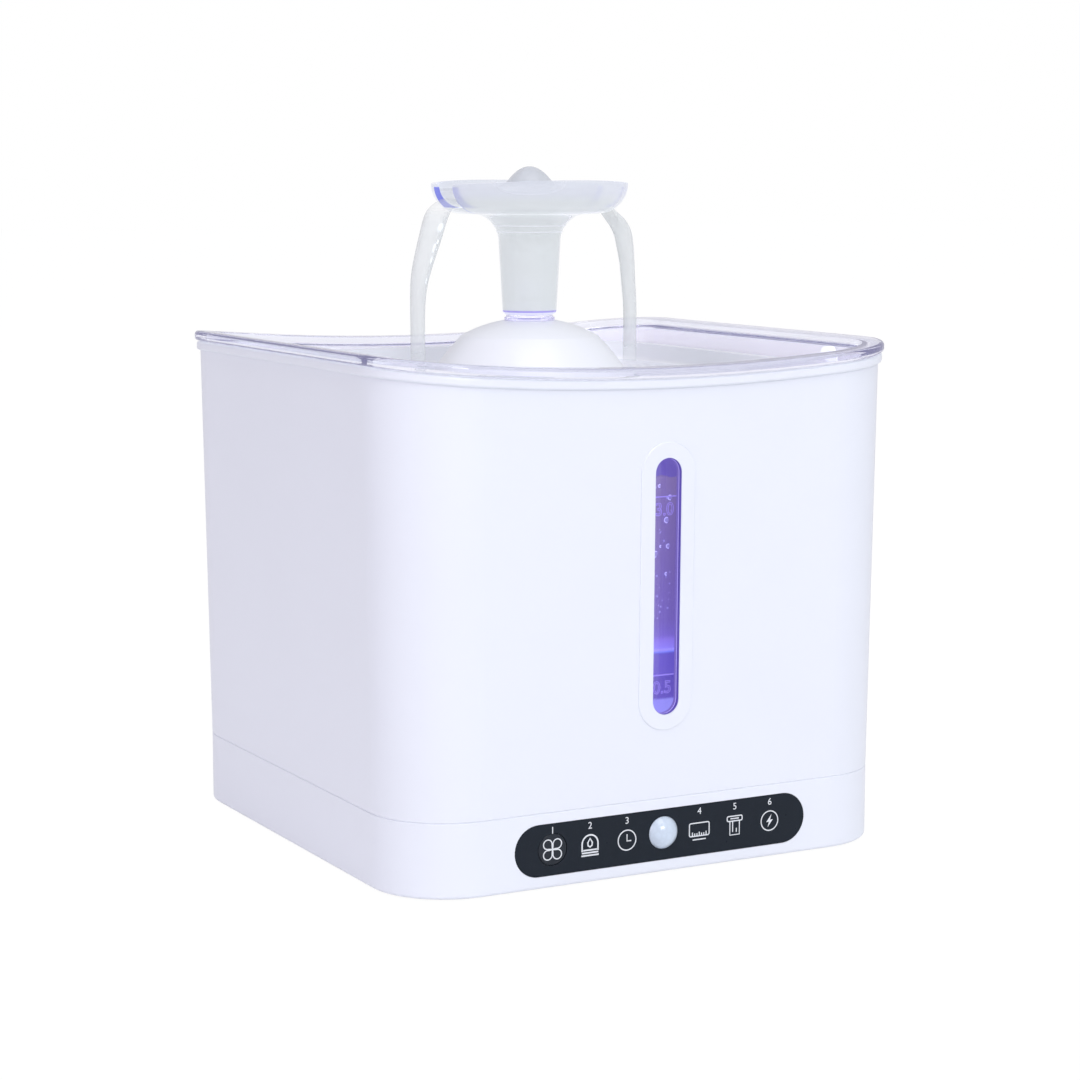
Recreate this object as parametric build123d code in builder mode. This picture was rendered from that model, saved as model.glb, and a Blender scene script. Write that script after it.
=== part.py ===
from build123d import *
from math import atan2, cos, degrees, radians, sin, sqrt, tan
import os

# Pet water fountain. A square white base holds the electronics and carries a white shell. A clear tank
# with a saddle-shaped rim hangs inside the shell, a drinking tray with a dome rests in the tank, and a
# clear head on the dome pours two streams back into the tray.
# Millimetres, +Z up, front at -Y, origin on the floor under the middle of the feet.

# ------------------------------------------------------------------ housing
body_width = 190.0           # square footprint
corner_radius = 27.0         # upright corners in plan
foot_lift = 0.6              # floor to the lower edge of the base
base_height = 25.2           # lower edge of the base to the seam
rim_rise = 150.2             # seam to the top of the rim at the corners
flare = 2.1                  # every wall leans out by this between seam and rim
rim_sag = 5.8                # the rim dips by this in the middle of the front and the back
shell_wall = 2.6
base_wall = 2.8
deck_thickness = 2.4
plug_height = 2.0            # the deck stands above the seam and centres the shell
seam_chamfer = 0.35          # V groove along the seam
base_edge_round = 1.2
bead_height = 3.1            # raised band round the top of the shell
bead_proud = 1.2
bead_round = 0.9
snap_length = 14.0           # snap ribs inside the shell, in pockets of the deck
snap_depth = 0.5
snap_height = 0.9

# ------------------------------------------------------------------ clearances
seat_gap = 0.3               # under a piece that lifts off
lift_gap = 0.8               # beside a piece that lifts off
fit_gap = 0.15               # fixed pieces that are pushed together
slide_gap = 0.1              # radial, a piece that slides on another
running_gap = 0.05           # radial, shaft in bush

# ------------------------------------------------------------------ level window
window_width = 10.0
window_low = 53.9            # above the lower edge of the base
window_drop = 35.5           # corners of the rim down to the top of the window
bezel_margin = 5.3
bezel_proud = 0.5
bezel_round = 0.4

# ------------------------------------------------------------------ control strip
panel_length = 112.7
panel_height = 17.6
panel_centre = 12.9          # above the lower edge of the base
panel_thickness = 0.8
strip_end = 14.05            # end of the strip to the outermost symbol
lens_radius = 5.5
lens_bulge = 3.2
lens_wall = 0.8
lens_raise = 0.6             # the lens sits a little above the middle of the strip
button_radius = 5.3
button_travel = 0.6
button_thickness = 2.0
button_round = 0.3
flange_width = 0.9           # flanges that hold the lens and the button from inside
flange_thickness = 0.9
stem_radius = 1.6
icon_slots = (-2, -1, 1, 2, 3)   # places of the lit symbols, in pitches from the lens
button_slot = -3
guide_radius = 2.0
guide_block = 6.0
led_length = 3.2
led_width = 2.8
led_height = 1.9

# ------------------------------------------------------------------ boards
board_thickness = 1.6
board_corner = 1.5
panel_board_height = 15.0
panel_board_gap = 6.2        # front wall to panel board
sensor_radius = 4.6
sensor_height = 4.2
sensor_round = 0.45
sensor_window_length = 4.6
sensor_window_height = 3.1
sensor_window_depth = 0.15
switch_side = 6.0
switch_height = 3.5
switch_chamfer = 0.3
plunger_radius = 1.7
plunger_length = 1.4
main_board_width = 36.0
main_board_length = 61.0
standoff_height = 4.0
standoff_radius = 2.6
chip_side = 9.0
chip_height = 1.4
inductor_side = 7.0
inductor_height = 4.0
capacitor_radius = 3.2
capacitor_height = 7.5
connector_length = 9.6
connector_width = 4.6
connector_height = 5.6
connector_y = -23.4          # from the middle of the main board
port_margin = 12.0           # charging port, from the end of the flat of the rear wall
socket_width = 8.94
socket_height = 3.26
socket_round = 1.3
socket_depth = 7.3
socket_wall = 0.3
socket_tongue_width = 6.7
socket_tongue_height = 0.7
port_plug_width = 17.0
port_plug_height = 8.6
port_plug_thickness = 1.4
port_plug_round = 0.8
port_pocket_round = 1.0
port_plug_lip = 0.8
port_lip_round = 0.9

# ------------------------------------------------------------------ bottom
cover_thickness = 2.0
cover_inset = 0.4            # cover above the lower edge of the base
rebate_wall = 1.4
seal_thickness = 1.0
foot_radius = 6.5
foot_recess = 1.0
foot_margin = 33.0           # middle of a foot, from the side of the housing
screw_margin = 15.0          # cover screw, from the side of the housing
boss_radius = 4.0
cover_screw_radius = 1.4
cover_screw_head = 2.7
cover_screw_head_height = 1.4
cover_screw_length = 10.0
board_screw_radius = 0.95
board_screw_head = 1.9
board_screw_head_height = 1.3
board_screw_length = 4.4

# ------------------------------------------------------------------ battery and drive
cell_radius = 9.2
cell_length = 64.0
cell_cap_radius = 3.0
cell_cap_height = 1.0
cell_gap = 0.8
cell_count = 2
battery_margin = 5.0         # side wall to battery holder
holder_wall = 1.4
coil_radius = 19.0
coil_height = 12.0
coil_flange = 1.2
coil_tube_radius = 6.5
core_radius = 5.0
retainer_thickness = 1.6
retainer_post_place = 22.0
retainer_post_radius = 2.2
retainer_post_count = 3
light_ring_inner = 26.0
light_ring_gap = 2.8         # tank light board to battery holder
light_count = 4
light_window_radius = 5.0
tank_led_side = 4.8
light_board_drop = 3.2       # deck underside to the tank light board

# ------------------------------------------------------------------ tank
tank_wall = 2.2
tank_gap = 0.9               # tank collar to shell
tank_floor = 2.4
rim_overhang = 1.9           # the rim reaches past the shell
rim_thickness = 3.5
rim_round = 1.3
shoulder_width = 2.6         # step in the tank wall that carries the tray
tank_foot_round = 4.0
tank_inner_round = 3.0

# ------------------------------------------------------------------ drinking tray
tray_drop = 9.9              # corners of the rim down to the tray's edge
tray_wall = 2.2
tray_depth = 7.0
tray_round = 2.0
dome_rise = 14.7             # dome above the tray's edge
dome_flat_radius = 9.0
dome_shoulder_radius = 24.4
dome_shoulder_drop = 5.4
dome_foot_radius = 37.0
dome_flank_round = 84.3      # curve from the foot to the shoulder
dome_crown_round = 46.1      # curve from the shoulder to the flat
dome_wall = 2.2
drain_count = 12
drain_radius = 41.5
drain_length = 8.0
drain_width = 2.4
tab_width = 7.0
tab_height = 6.0
tab_thickness = 2.4
tab_margin = 37.0            # middle of the tab, from the front of the housing

# ------------------------------------------------------------------ pump and filter
pump_radius = 24.0
pump_wall = 2.0
pump_height = 22.0
eye_height = 12.5            # plate with the inlet eye, above the tank floor
eye_plate = 1.6
eye_radius = 8.0
intake_count = 16
intake_width = 2.4
intake_height = 7.0
pump_cover_thickness = 2.0
pump_seat_height = 1.6
shaft_radius = 1.0
shaft_chamfer = 0.35
shaft_length = 19.0
shaft_boss_radius = 3.6
shaft_boss_height = 1.4
bush_radius = 2.2
bush_length = 4.0
magnet_radius = 10.0
magnet_height = 9.0
magnet_chamfer = 0.5
hub_radius = 4.0
blade_count = 7
blade_radius = 15.0
blade_height = 4.6
blade_thickness = 1.2
blade_root = 0.4             # how far a blade starts inside the hub
blade_margin = 0.35          # blade tip inside the shroud's edge
blade_sweep = 18.0           # degrees that a blade turns from hub to tip
shroud_thickness = 1.0
sponge_thickness = 6.0
sponge_height = 17.0
riser_inner = 4.8
riser_wall = 1.4
riser_chamfer = 0.35
nipple_length = 11.0
nipple_wall = 1.2
basket_radius = 47.0
basket_height = 13.0
basket_wall = 1.6
basket_slot_count = 20
basket_slot_length = 22.0
basket_slot_width = 2.4
fleece_thickness = 3.2
carbon_thickness = 4.8
lid_hole_count = 24
lid_hole_radius = 1.6
lid_inner_hole_radius = 2.4
skirt_depth = 4.0
skirt_wall = 1.6

# ------------------------------------------------------------------ collar and pouring head
collar_bead_radius = 9.0
collar_bead_height = 1.2
collar_bead_round = 0.4
collar_neck_radius = 8.4
collar_neck_height = 0.5
collar_barrel_radius = 7.8
collar_barrel_length = 12.0
pipe_radius = 5.9
pipe_wall = 1.2
pipe_length = 12.0
o_ring_section = 0.45
stem_length = 35.8           # foot of the stem to the underside of the bowl
stem_foot_radius = 9.65
stem_top_radius = 11.0
stem_round = 1.6
bore_radius = 8.0
bore_step = 1.4              # ledge where the bore opens below the bowl
haunch_radius = 10.0
bowl_radius = 35.0
bowl_corner = 10.5
bowl_wall = 2.0
bowl_floor = 2.2
bowl_height = 11.8           # underside to the highest part of the rim
rim_crown_radius = 400.0     # the bowl's rim falls away to the notches on this curve
notch_width = 14.6
notch_round = 1.5

# ------------------------------------------------------------------ derived places
base_edge = foot_lift
seam_z = base_edge + base_height
rim_top = seam_z + rim_rise
lean = degrees(atan2(flare, rim_rise))
half_body = body_width / 2
rim_half = half_body + flare + rim_overhang
saddle_radius = (rim_half**2 + rim_sag**2) / (2 * rim_sag)
saddle_axis_z = rim_top - rim_sag + saddle_radius
saddle_span = 3 * body_width
deck_top = seam_z + plug_height
deck_under = deck_top - deck_thickness
plug_inset = shell_wall + fit_gap
window_low_z = base_edge + window_low
window_high_z = rim_top - window_drop
window_length = window_high_z - window_low_z
window_middle = (window_low_z + window_high_z) / 2 - seam_z
panel_z = base_edge + panel_centre
icon_z = panel_z
lens_z = panel_z + lens_raise
icon_pitch = (panel_length - 2 * strip_end) / (max(icon_slots) - button_slot)
button_x = button_slot * icon_pitch
cover_low = base_edge + cover_inset
cover_top = cover_low + cover_thickness
seal_top = cover_top + seal_thickness
ceiling_z = seam_z - deck_thickness
tank_low = deck_top + seat_gap
floor_z = tank_low + tank_floor
collar_inset = shell_wall + tank_gap
tub_inset = collar_inset + shoulder_width
tray_rim_z = rim_top - tray_drop
shoulder_z = tray_rim_z - tray_wall - seat_gap
tray_floor_z = tray_rim_z - tray_depth
tray_under = tray_floor_z - tray_wall
dome_top = tray_rim_z + dome_rise
arc_middle = 1 - sqrt(0.5)                     # of a quarter arc's radius, at its middle
cell_pitch = 2 * cell_radius + cell_gap
holder_width = (cell_count - 1) * cell_pitch + 2 * (cell_radius + holder_wall)
battery_x = base_wall + battery_margin + holder_width / 2 - half_body
light_ring_outer = -battery_x - holder_width / 2 - light_ring_gap
light_window_place = (light_ring_inner + light_ring_outer) / 2
between_windows = 180 / light_count
port_x = half_body - corner_radius - port_margin
upward = (Align.CENTER, Align.CENTER, Align.MIN)
downward = (Align.CENTER, Align.CENTER, Align.MAX)
front = Plane(origin=(0, -half_body, 0), x_dir=(1, 0, 0), z_dir=(0, -1, 0))
rear = Plane(origin=(0, half_body, 0), x_dir=(-1, 0, 0), z_dir=(0, 1, 0))
leaning_front = Plane(
    origin=(0, -half_body, seam_z),
    x_dir=(1, 0, 0),
    z_dir=(0, -cos(radians(lean)), -sin(radians(lean))),
)
screw_place = half_body - screw_margin
foot_place = half_body - foot_margin
cover_screw_places = [(x, y) for x in (-screw_place, screw_place) for y in (-screw_place, screw_place)]
foot_places = [(x, y) for x in (-foot_place, foot_place) for y in (-foot_place, foot_place)]


def outline(z, inset=0.0):
    """Width, depth and corner radius of the housing at height z, less an inset all round."""
    grown = max(z - seam_z, 0) * tan(radians(lean)) - inset
    return body_width + 2 * grown, body_width + 2 * grown, corner_radius + grown


os.makedirs("parts", exist_ok=True)

# ================================================================== base
board_front = base_wall + panel_board_gap            # depth of the panel board's front face
panel_screw_x = panel_length / 2 - guide_block / 2 - standoff_radius / 2
main_board_x = port_x
main_board_y = half_body - base_wall - lift_gap - main_board_length / 2
main_board_z = cover_top + standoff_height
port_z = main_board_z + board_thickness + socket_height / 2
pocket_depth = port_plug_thickness + fit_gap
light_board_top = deck_under - light_board_drop
coil_low = deck_under - coil_height

with BuildPart() as base_housing:
    with BuildSketch(Plane.XY.offset(base_edge)):
        RectangleRounded(*outline(seam_z))
    extrude(amount=base_height)
    fillet(base_housing.faces().sort_by(Axis.Z)[0].edges(), base_edge_round)
    chamfer(base_housing.faces().sort_by(Axis.Z)[-1].edges(), seam_chamfer)
    with BuildSketch(Plane.XY.offset(seam_z)):
        RectangleRounded(*outline(seam_z, plug_inset))
    extrude(amount=plug_height)
    # rebate for the cover and its seal, then the cavity in two steps
    with BuildSketch(Plane.XY.offset(base_edge)):
        RectangleRounded(*outline(seam_z, rebate_wall))
    extrude(amount=seal_top - base_edge, mode=Mode.SUBTRACT)
    with BuildSketch(Plane.XY.offset(seal_top)):
        RectangleRounded(*outline(seam_z, base_wall))
    extrude(amount=ceiling_z - seal_top, mode=Mode.SUBTRACT)
    with BuildSketch(Plane.XY.offset(ceiling_z)):
        RectangleRounded(*outline(seam_z, plug_inset + deck_thickness))
    extrude(amount=deck_under - ceiling_z, mode=Mode.SUBTRACT)
    # pockets for the shell's snap ribs
    with BuildSketch(Plane.XY.offset(seam_z + plug_height / 2 - snap_height)):
        with Locations((0, half_body - plug_inset), (0, plug_inset - half_body)):
            Rectangle(snap_length + 2 * fit_gap, 2 * (snap_depth + fit_gap))
        with Locations((half_body - plug_inset, 0), (plug_inset - half_body, 0)):
            Rectangle(2 * (snap_depth + fit_gap), snap_length + 2 * fit_gap)
    extrude(amount=2 * snap_height, mode=Mode.SUBTRACT)
    # posts under the deck
    with Locations(*[(x, y, seal_top) for x, y in cover_screw_places]):
        Cylinder(boss_radius, deck_under - seal_top, align=upward)
    with Locations((0, 0, coil_low)):
        with PolarLocations(retainer_post_place, retainer_post_count):
            Cylinder(retainer_post_radius, coil_height, align=upward)
    with Locations((0, 0, light_board_top)):
        with PolarLocations(light_window_place, light_count, start_angle=between_windows):
            Cylinder(standoff_radius, light_board_drop, align=upward)
    # posts behind the control strip
    with BuildSketch(front.offset(-base_wall)):
        with Locations((panel_screw_x, icon_z), (-panel_screw_x, icon_z)):
            Circle(standoff_radius)
    extrude(amount=-panel_board_gap)
    # recess of the control strip, its openings and the pilot holes
    with BuildSketch(front):
        with Locations((0, panel_z)):
            SlotOverall(panel_length, panel_height)
    extrude(amount=-panel_thickness, mode=Mode.SUBTRACT)
    with BuildSketch(front):
        with Locations((0, lens_z)):
            Circle(lens_radius + fit_gap)
        with Locations((button_x, icon_z)):
            Circle(button_radius + fit_gap)
        with Locations(*[(place * icon_pitch, icon_z) for place in icon_slots]):
            Circle(guide_radius + fit_gap)
    extrude(amount=-base_wall, mode=Mode.SUBTRACT)
    with BuildSketch(front.offset(-board_front)):
        with Locations((panel_screw_x, icon_z), (-panel_screw_x, icon_z)):
            Circle(board_screw_radius)
    extrude(amount=board_screw_length, mode=Mode.SUBTRACT)
    # pocket of the charging port and the opening for its socket
    with BuildSketch(rear):
        with Locations((-port_x, port_z)):
            RectangleRounded(
                port_plug_width + 2 * seat_gap, port_plug_height + 2 * seat_gap, port_pocket_round
            )
    extrude(amount=-pocket_depth, mode=Mode.SUBTRACT)
    with BuildSketch(rear):
        with Locations((-port_x, port_z)):
            RectangleRounded(socket_width + 2 * fit_gap, socket_height + 2 * fit_gap, socket_height / 2)
    extrude(amount=-base_wall, mode=Mode.SUBTRACT)
    # holes through the deck for the light windows, and pilots in the posts
    with Locations((0, 0, deck_under)):
        with PolarLocations(light_window_place, light_count):
            Cylinder(light_window_radius, deck_thickness, align=upward, mode=Mode.SUBTRACT)
    with Locations(*[(x, y, seal_top) for x, y in cover_screw_places]):
        Cylinder(cover_screw_radius, cover_screw_length, align=upward, mode=Mode.SUBTRACT)
    with Locations((0, 0, coil_low)):
        with PolarLocations(retainer_post_place, retainer_post_count):
            Cylinder(board_screw_radius, board_screw_length, align=upward, mode=Mode.SUBTRACT)
    with Locations((0, 0, light_board_top)):
        with PolarLocations(light_window_place, light_count, start_angle=between_windows):
            Cylinder(board_screw_radius, board_screw_length, align=upward, mode=Mode.SUBTRACT)
base_housing.part.label = "base_housing"
export_step(base_housing.part, "parts/base_housing.step")

with BuildPart() as bottom_cover:
    with BuildSketch(Plane.XY.offset(cover_low)):
        RectangleRounded(*outline(seam_z, rebate_wall + fit_gap))
    extrude(amount=cover_thickness)
    with Locations(*[(x, y, cover_top) for x, y in cover_screw_places]):
        Cylinder(boss_radius, seal_thickness, align=upward)
    with Locations(*[(x, y, cover_low) for x, y in foot_places]):
        Cylinder(foot_radius + fit_gap, foot_recess, align=upward, mode=Mode.SUBTRACT)
    with Locations(*[(x, y, cover_low) for x, y in cover_screw_places]):
        Cylinder(cover_screw_radius, cover_thickness + seal_thickness, align=upward, mode=Mode.SUBTRACT)
        Cylinder(cover_screw_head + fit_gap, cover_screw_head_height, align=upward, mode=Mode.SUBTRACT)
    # standoffs of the main board
    with Locations((main_board_x, main_board_y, cover_top)):
        with GridLocations(
            main_board_width - 2 * standoff_radius, main_board_length - 2 * standoff_radius, 2, 2
        ):
            Cylinder(standoff_radius, standoff_height, align=upward)
    with Locations((main_board_x, main_board_y, main_board_z)):
        with GridLocations(
            main_board_width - 2 * standoff_radius, main_board_length - 2 * standoff_radius, 2, 2
        ):
            Cylinder(board_screw_radius, board_screw_length, align=downward, mode=Mode.SUBTRACT)
bottom_cover.part.label = "bottom_cover"
export_step(bottom_cover.part, "parts/bottom_cover.step")

with BuildPart() as cover_seal:
    with BuildSketch(Plane.XY.offset(cover_top)):
        RectangleRounded(*outline(seam_z, rebate_wall + fit_gap))
        RectangleRounded(*outline(seam_z, base_wall), mode=Mode.SUBTRACT)
    extrude(amount=seal_thickness)
cover_seal.part.label = "cover_seal"
export_step(cover_seal.part, "parts/cover_seal.step")

with BuildPart() as cover_screws:
    with Locations(*[(x, y, cover_low) for x, y in cover_screw_places]):
        Cylinder(cover_screw_head, cover_screw_head_height, align=upward)
        Cylinder(cover_screw_radius - running_gap, cover_screw_length, align=upward)
cover_screws.part.label = "cover_screws"
export_step(cover_screws.part, "parts/cover_screws.step")

with BuildPart() as rubber_feet:
    with Locations(*[(x, y, 0) for x, y in foot_places]):
        Cylinder(foot_radius, cover_low + foot_recess, align=upward)
    fillet(rubber_feet.edges().group_by(Axis.Z)[0], foot_lift / 2)
rubber_feet.part.label = "rubber_feet"
export_step(rubber_feet.part, "parts/rubber_feet.step")

# ================================================================== shell
bead_outline_z = rim_top - rim_thickness
bead_plan = outline(rim_top, -bead_proud)
shell_top_drop = rim_thickness + seat_gap           # shell top below the rim's surface
bead_floor = bead_outline_z - rim_sag - bead_height - rim_thickness

with BuildPart() as bead_band:
    with BuildSketch(Plane.XY.offset(bead_floor)):
        RectangleRounded(*bead_plan)
    extrude(amount=rim_top - bead_floor)
    with Locations((0, 0, saddle_axis_z)):
        Cylinder(
            saddle_radius + shell_top_drop + bead_height,
            saddle_span,
            rotation=(90, 0, 0),
            mode=Mode.INTERSECT,
        )
        Cylinder(saddle_radius + shell_top_drop, saddle_span, rotation=(90, 0, 0), mode=Mode.SUBTRACT)
    fillet(bead_band.edges().filter_by(Axis.Z, reverse=True), bead_round)

with BuildPart() as upper_shell:
    with BuildSketch(Plane.XY.offset(seam_z)):
        RectangleRounded(*outline(seam_z))
    extrude(amount=rim_rise, taper=-lean)
    chamfer(upper_shell.faces().sort_by(Axis.Z)[0].edges(), seam_chamfer)
    with Locations((0, 0, saddle_axis_z)):
        Cylinder(saddle_radius + shell_top_drop, saddle_span, rotation=(90, 0, 0), mode=Mode.SUBTRACT)
    add(bead_band.part)
    # raised bezel of the level window
    with BuildSketch(leaning_front):
        with Locations((0, window_middle)):
            SlotOverall(window_length + 2 * bezel_margin, window_width + 2 * bezel_margin, 90)
    extrude(amount=bezel_proud)
    fillet(upper_shell.faces().filter_by(leaning_front).sort_by(Axis.Y)[0].edges(), bezel_round)
    # inside of the sleeve and the window slot
    with BuildSketch(Plane.XY.offset(seam_z)):
        RectangleRounded(*outline(seam_z, shell_wall))
    extrude(amount=rim_rise, taper=-lean, mode=Mode.SUBTRACT)
    with BuildSketch(leaning_front.offset(bezel_proud)):
        with Locations((0, window_middle)):
            SlotOverall(window_length, window_width, 90)
    extrude(amount=-(shell_wall + 2 * bezel_proud), mode=Mode.SUBTRACT)
    # snap ribs that hold the shell on the deck
    with BuildSketch(Plane.XY.offset(seam_z + plug_height / 2 - snap_height / 2)):
        with Locations((0, half_body - shell_wall), (0, shell_wall - half_body)):
            Rectangle(snap_length, 2 * snap_depth)
        with Locations((half_body - shell_wall, 0), (shell_wall - half_body, 0)):
            Rectangle(2 * snap_depth, snap_length)
    extrude(amount=snap_height)
upper_shell.part.label = "upper_shell"
export_step(upper_shell.part, "parts/upper_shell.step")

# ================================================================== control strip
with BuildPart() as control_panel:
    with BuildSketch(front):
        with Locations((0, panel_z)):
            SlotOverall(panel_length - 2 * fit_gap, panel_height - 2 * fit_gap)
        with Locations((0, lens_z)):
            Circle(lens_radius + fit_gap, mode=Mode.SUBTRACT)
        with Locations((button_x, icon_z)):
            Circle(button_radius + fit_gap, mode=Mode.SUBTRACT)
    extrude(amount=-panel_thickness)
control_panel.part.label = "control_panel"
export_step(control_panel.part, "parts/control_panel.step")

lens_back = base_wall + flange_thickness
lens_sphere = (lens_radius**2 + lens_bulge**2) / (2 * lens_bulge)
lens_inner_sphere = ((lens_radius - lens_wall) ** 2 + (lens_bulge - lens_wall) ** 2) / (
    2 * (lens_bulge - lens_wall)
)
lens_plane = Plane(origin=(0, -half_body, lens_z), x_dir=(1, 0, 0), z_dir=(0, 0, -1))
lens_inner = lens_radius - lens_wall
with BuildPart() as sensor_lens:
    # half section, outward along the plane's +Y
    with BuildSketch(lens_plane):
        with BuildLine():
            RadiusArc((0, lens_bulge), (lens_radius, 0), lens_sphere)
            Polyline(
                (lens_radius, 0),
                (lens_radius, -base_wall),
                (lens_radius + flange_width, -base_wall),
                (lens_radius + flange_width, -lens_back),
                (lens_inner, -lens_back),
                (lens_inner, 0),
            )
            RadiusArc((lens_inner, 0), (0, lens_bulge - lens_wall), -lens_inner_sphere)
            Line((0, lens_bulge - lens_wall), (0, lens_bulge))
        make_face()
    revolve(axis=Axis((0, 0, lens_z), (0, 1, 0)))
sensor_lens.part.label = "sensor_lens"
export_step(sensor_lens.part, "parts/sensor_lens.step")

with BuildPart() as settings_button:
    with BuildSketch(front):
        with Locations((button_x, icon_z)):
            Circle(button_radius)
    extrude(amount=-(base_wall + fit_gap))
    fillet(settings_button.faces().sort_by(Axis.Y)[0].edges(), button_round)
    with BuildSketch(front.offset(-(base_wall + fit_gap))):
        with Locations((button_x, icon_z)):
            Circle(button_radius + flange_width)
    extrude(amount=-flange_thickness)
    with BuildSketch(front.offset(-(base_wall + fit_gap + flange_thickness))):
        with Locations((button_x, icon_z)):
            Circle(stem_radius)
    stem_end = board_front - switch_height - button_travel
    extrude(amount=-(stem_end - base_wall - fit_gap - flange_thickness))
    # hollow behind the cap
    with BuildSketch(front.offset(-(base_wall + fit_gap + flange_thickness))):
        with Locations((button_x, icon_z)):
            Circle(button_radius - flange_width)
            Circle(stem_radius, mode=Mode.SUBTRACT)
    extrude(amount=base_wall + fit_gap + flange_thickness - button_thickness, mode=Mode.SUBTRACT)
settings_button.part.label = "settings_button"
export_step(settings_button.part, "parts/settings_button.step")

with BuildPart() as switch_plunger:
    with BuildSketch(front.offset(-stem_end)):
        with Locations((button_x, icon_z)):
            Circle(plunger_radius)
    extrude(amount=-plunger_length)
switch_plunger.part.label = "switch_plunger"
export_step(switch_plunger.part, "parts/switch_plunger.step")

with BuildPart() as push_switch:
    with BuildSketch(front.offset(-board_front)):
        with Locations((button_x, icon_z)):
            Rectangle(switch_side, switch_side)
    extrude(amount=switch_height)
    chamfer(push_switch.edges().filter_by(Axis.Y), switch_chamfer)
    with BuildSketch(front.offset(-(board_front - switch_height))):
        with Locations((button_x, icon_z)):
            Circle(plunger_radius + slide_gap)
    extrude(amount=-(plunger_length + fit_gap), mode=Mode.SUBTRACT)
push_switch.part.label = "push_switch"
export_step(push_switch.part, "parts/push_switch.step")

with BuildPart() as light_guides:
    with BuildSketch(front.offset(-panel_thickness)):
        with Locations(*[(place * icon_pitch, icon_z) for place in icon_slots]):
            Circle(guide_radius)
    extrude(amount=-(base_wall - panel_thickness))
    with BuildSketch(front.offset(-base_wall)):
        with Locations(*[(place * icon_pitch, icon_z) for place in icon_slots]):
            Rectangle(guide_block, guide_block)
    extrude(amount=-(panel_board_gap - led_height - fit_gap))
light_guides.part.label = "light_guides"
export_step(light_guides.part, "parts/light_guides.step")

with BuildPart() as indicator_leds:
    with BuildSketch(front.offset(-board_front)):
        with Locations(*[(place * icon_pitch, icon_z) for place in icon_slots]):
            Rectangle(led_length, led_width)
    extrude(amount=led_height)
indicator_leds.part.label = "indicator_leds"
export_step(indicator_leds.part, "parts/indicator_leds.step")

with BuildPart() as motion_sensor:
    with BuildSketch(front.offset(-board_front)):
        with Locations((0, lens_z)):
            Circle(sensor_radius)
    extrude(amount=sensor_height)
    fillet(motion_sensor.faces().sort_by(Axis.Y)[0].edges(), sensor_round)
    with BuildSketch(front.offset(-(board_front - sensor_height))):
        with Locations((0, lens_z)):
            Rectangle(sensor_window_length, sensor_window_height)
    extrude(amount=-sensor_window_depth, mode=Mode.SUBTRACT)
motion_sensor.part.label = "motion_sensor"
export_step(motion_sensor.part, "parts/motion_sensor.step")

with BuildPart() as panel_board:
    with BuildSketch(front.offset(-board_front)):
        with Locations((0, panel_z)):
            RectangleRounded(panel_length, panel_board_height, board_corner)
        with Locations((panel_screw_x, icon_z), (-panel_screw_x, icon_z)):
            Circle(board_screw_radius, mode=Mode.SUBTRACT)
    extrude(amount=-board_thickness)
panel_board.part.label = "panel_board"
export_step(panel_board.part, "parts/panel_board.step")

# ================================================================== electronics in the base
with BuildPart() as main_board:
    with BuildSketch(Plane.XY.offset(main_board_z)):
        with Locations((main_board_x, main_board_y)):
            RectangleRounded(main_board_width, main_board_length, board_corner)
            with GridLocations(
                main_board_width - 2 * standoff_radius, main_board_length - 2 * standoff_radius, 2, 2
            ):
                Circle(board_screw_radius, mode=Mode.SUBTRACT)
    extrude(amount=board_thickness)
main_board.part.label = "main_board"
export_step(main_board.part, "parts/main_board.step")

part_top = main_board_z + board_thickness
with BuildPart() as board_components:
    with Locations((main_board_x, main_board_y - chip_side, part_top)):
        Box(chip_side, chip_side, chip_height, align=upward)
    with Locations((main_board_x - chip_side, main_board_y + chip_side, part_top)):
        Box(inductor_side, inductor_side, inductor_height, align=upward)
    with Locations(
        (main_board_x + chip_side, main_board_y, part_top),
        (main_board_x + chip_side, main_board_y + chip_side, part_top),
    ):
        Cylinder(capacitor_radius, capacitor_height, align=upward)
    with Locations(
        (main_board_x - connector_length, main_board_y + connector_y, part_top),
        (main_board_x + connector_width, main_board_y + connector_y, part_top),
    ):
        Box(connector_length, connector_width, connector_height, align=upward)
board_components.part.label = "board_components"
export_step(board_components.part, "parts/board_components.step")

socket_mouth = half_body - pocket_depth - seat_gap
socket_plane = Plane(origin=(port_x, socket_mouth, port_z), x_dir=(-1, 0, 0), z_dir=(0, 1, 0))
with BuildPart() as charging_socket:
    with BuildSketch(socket_plane):
        RectangleRounded(socket_width, socket_height, socket_round)
    extrude(amount=-socket_depth)
    with BuildSketch(socket_plane):
        RectangleRounded(
            socket_width - 2 * socket_wall, socket_height - 2 * socket_wall, socket_round - socket_wall
        )
    extrude(amount=-(socket_depth - 2 * socket_wall), mode=Mode.SUBTRACT)
    with BuildSketch(socket_plane.offset(-socket_depth)):
        Rectangle(socket_tongue_width, socket_tongue_height)
    extrude(amount=socket_depth - 2 * port_plug_lip)
charging_socket.part.label = "charging_socket"
export_step(charging_socket.part, "parts/charging_socket.step")

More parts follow.
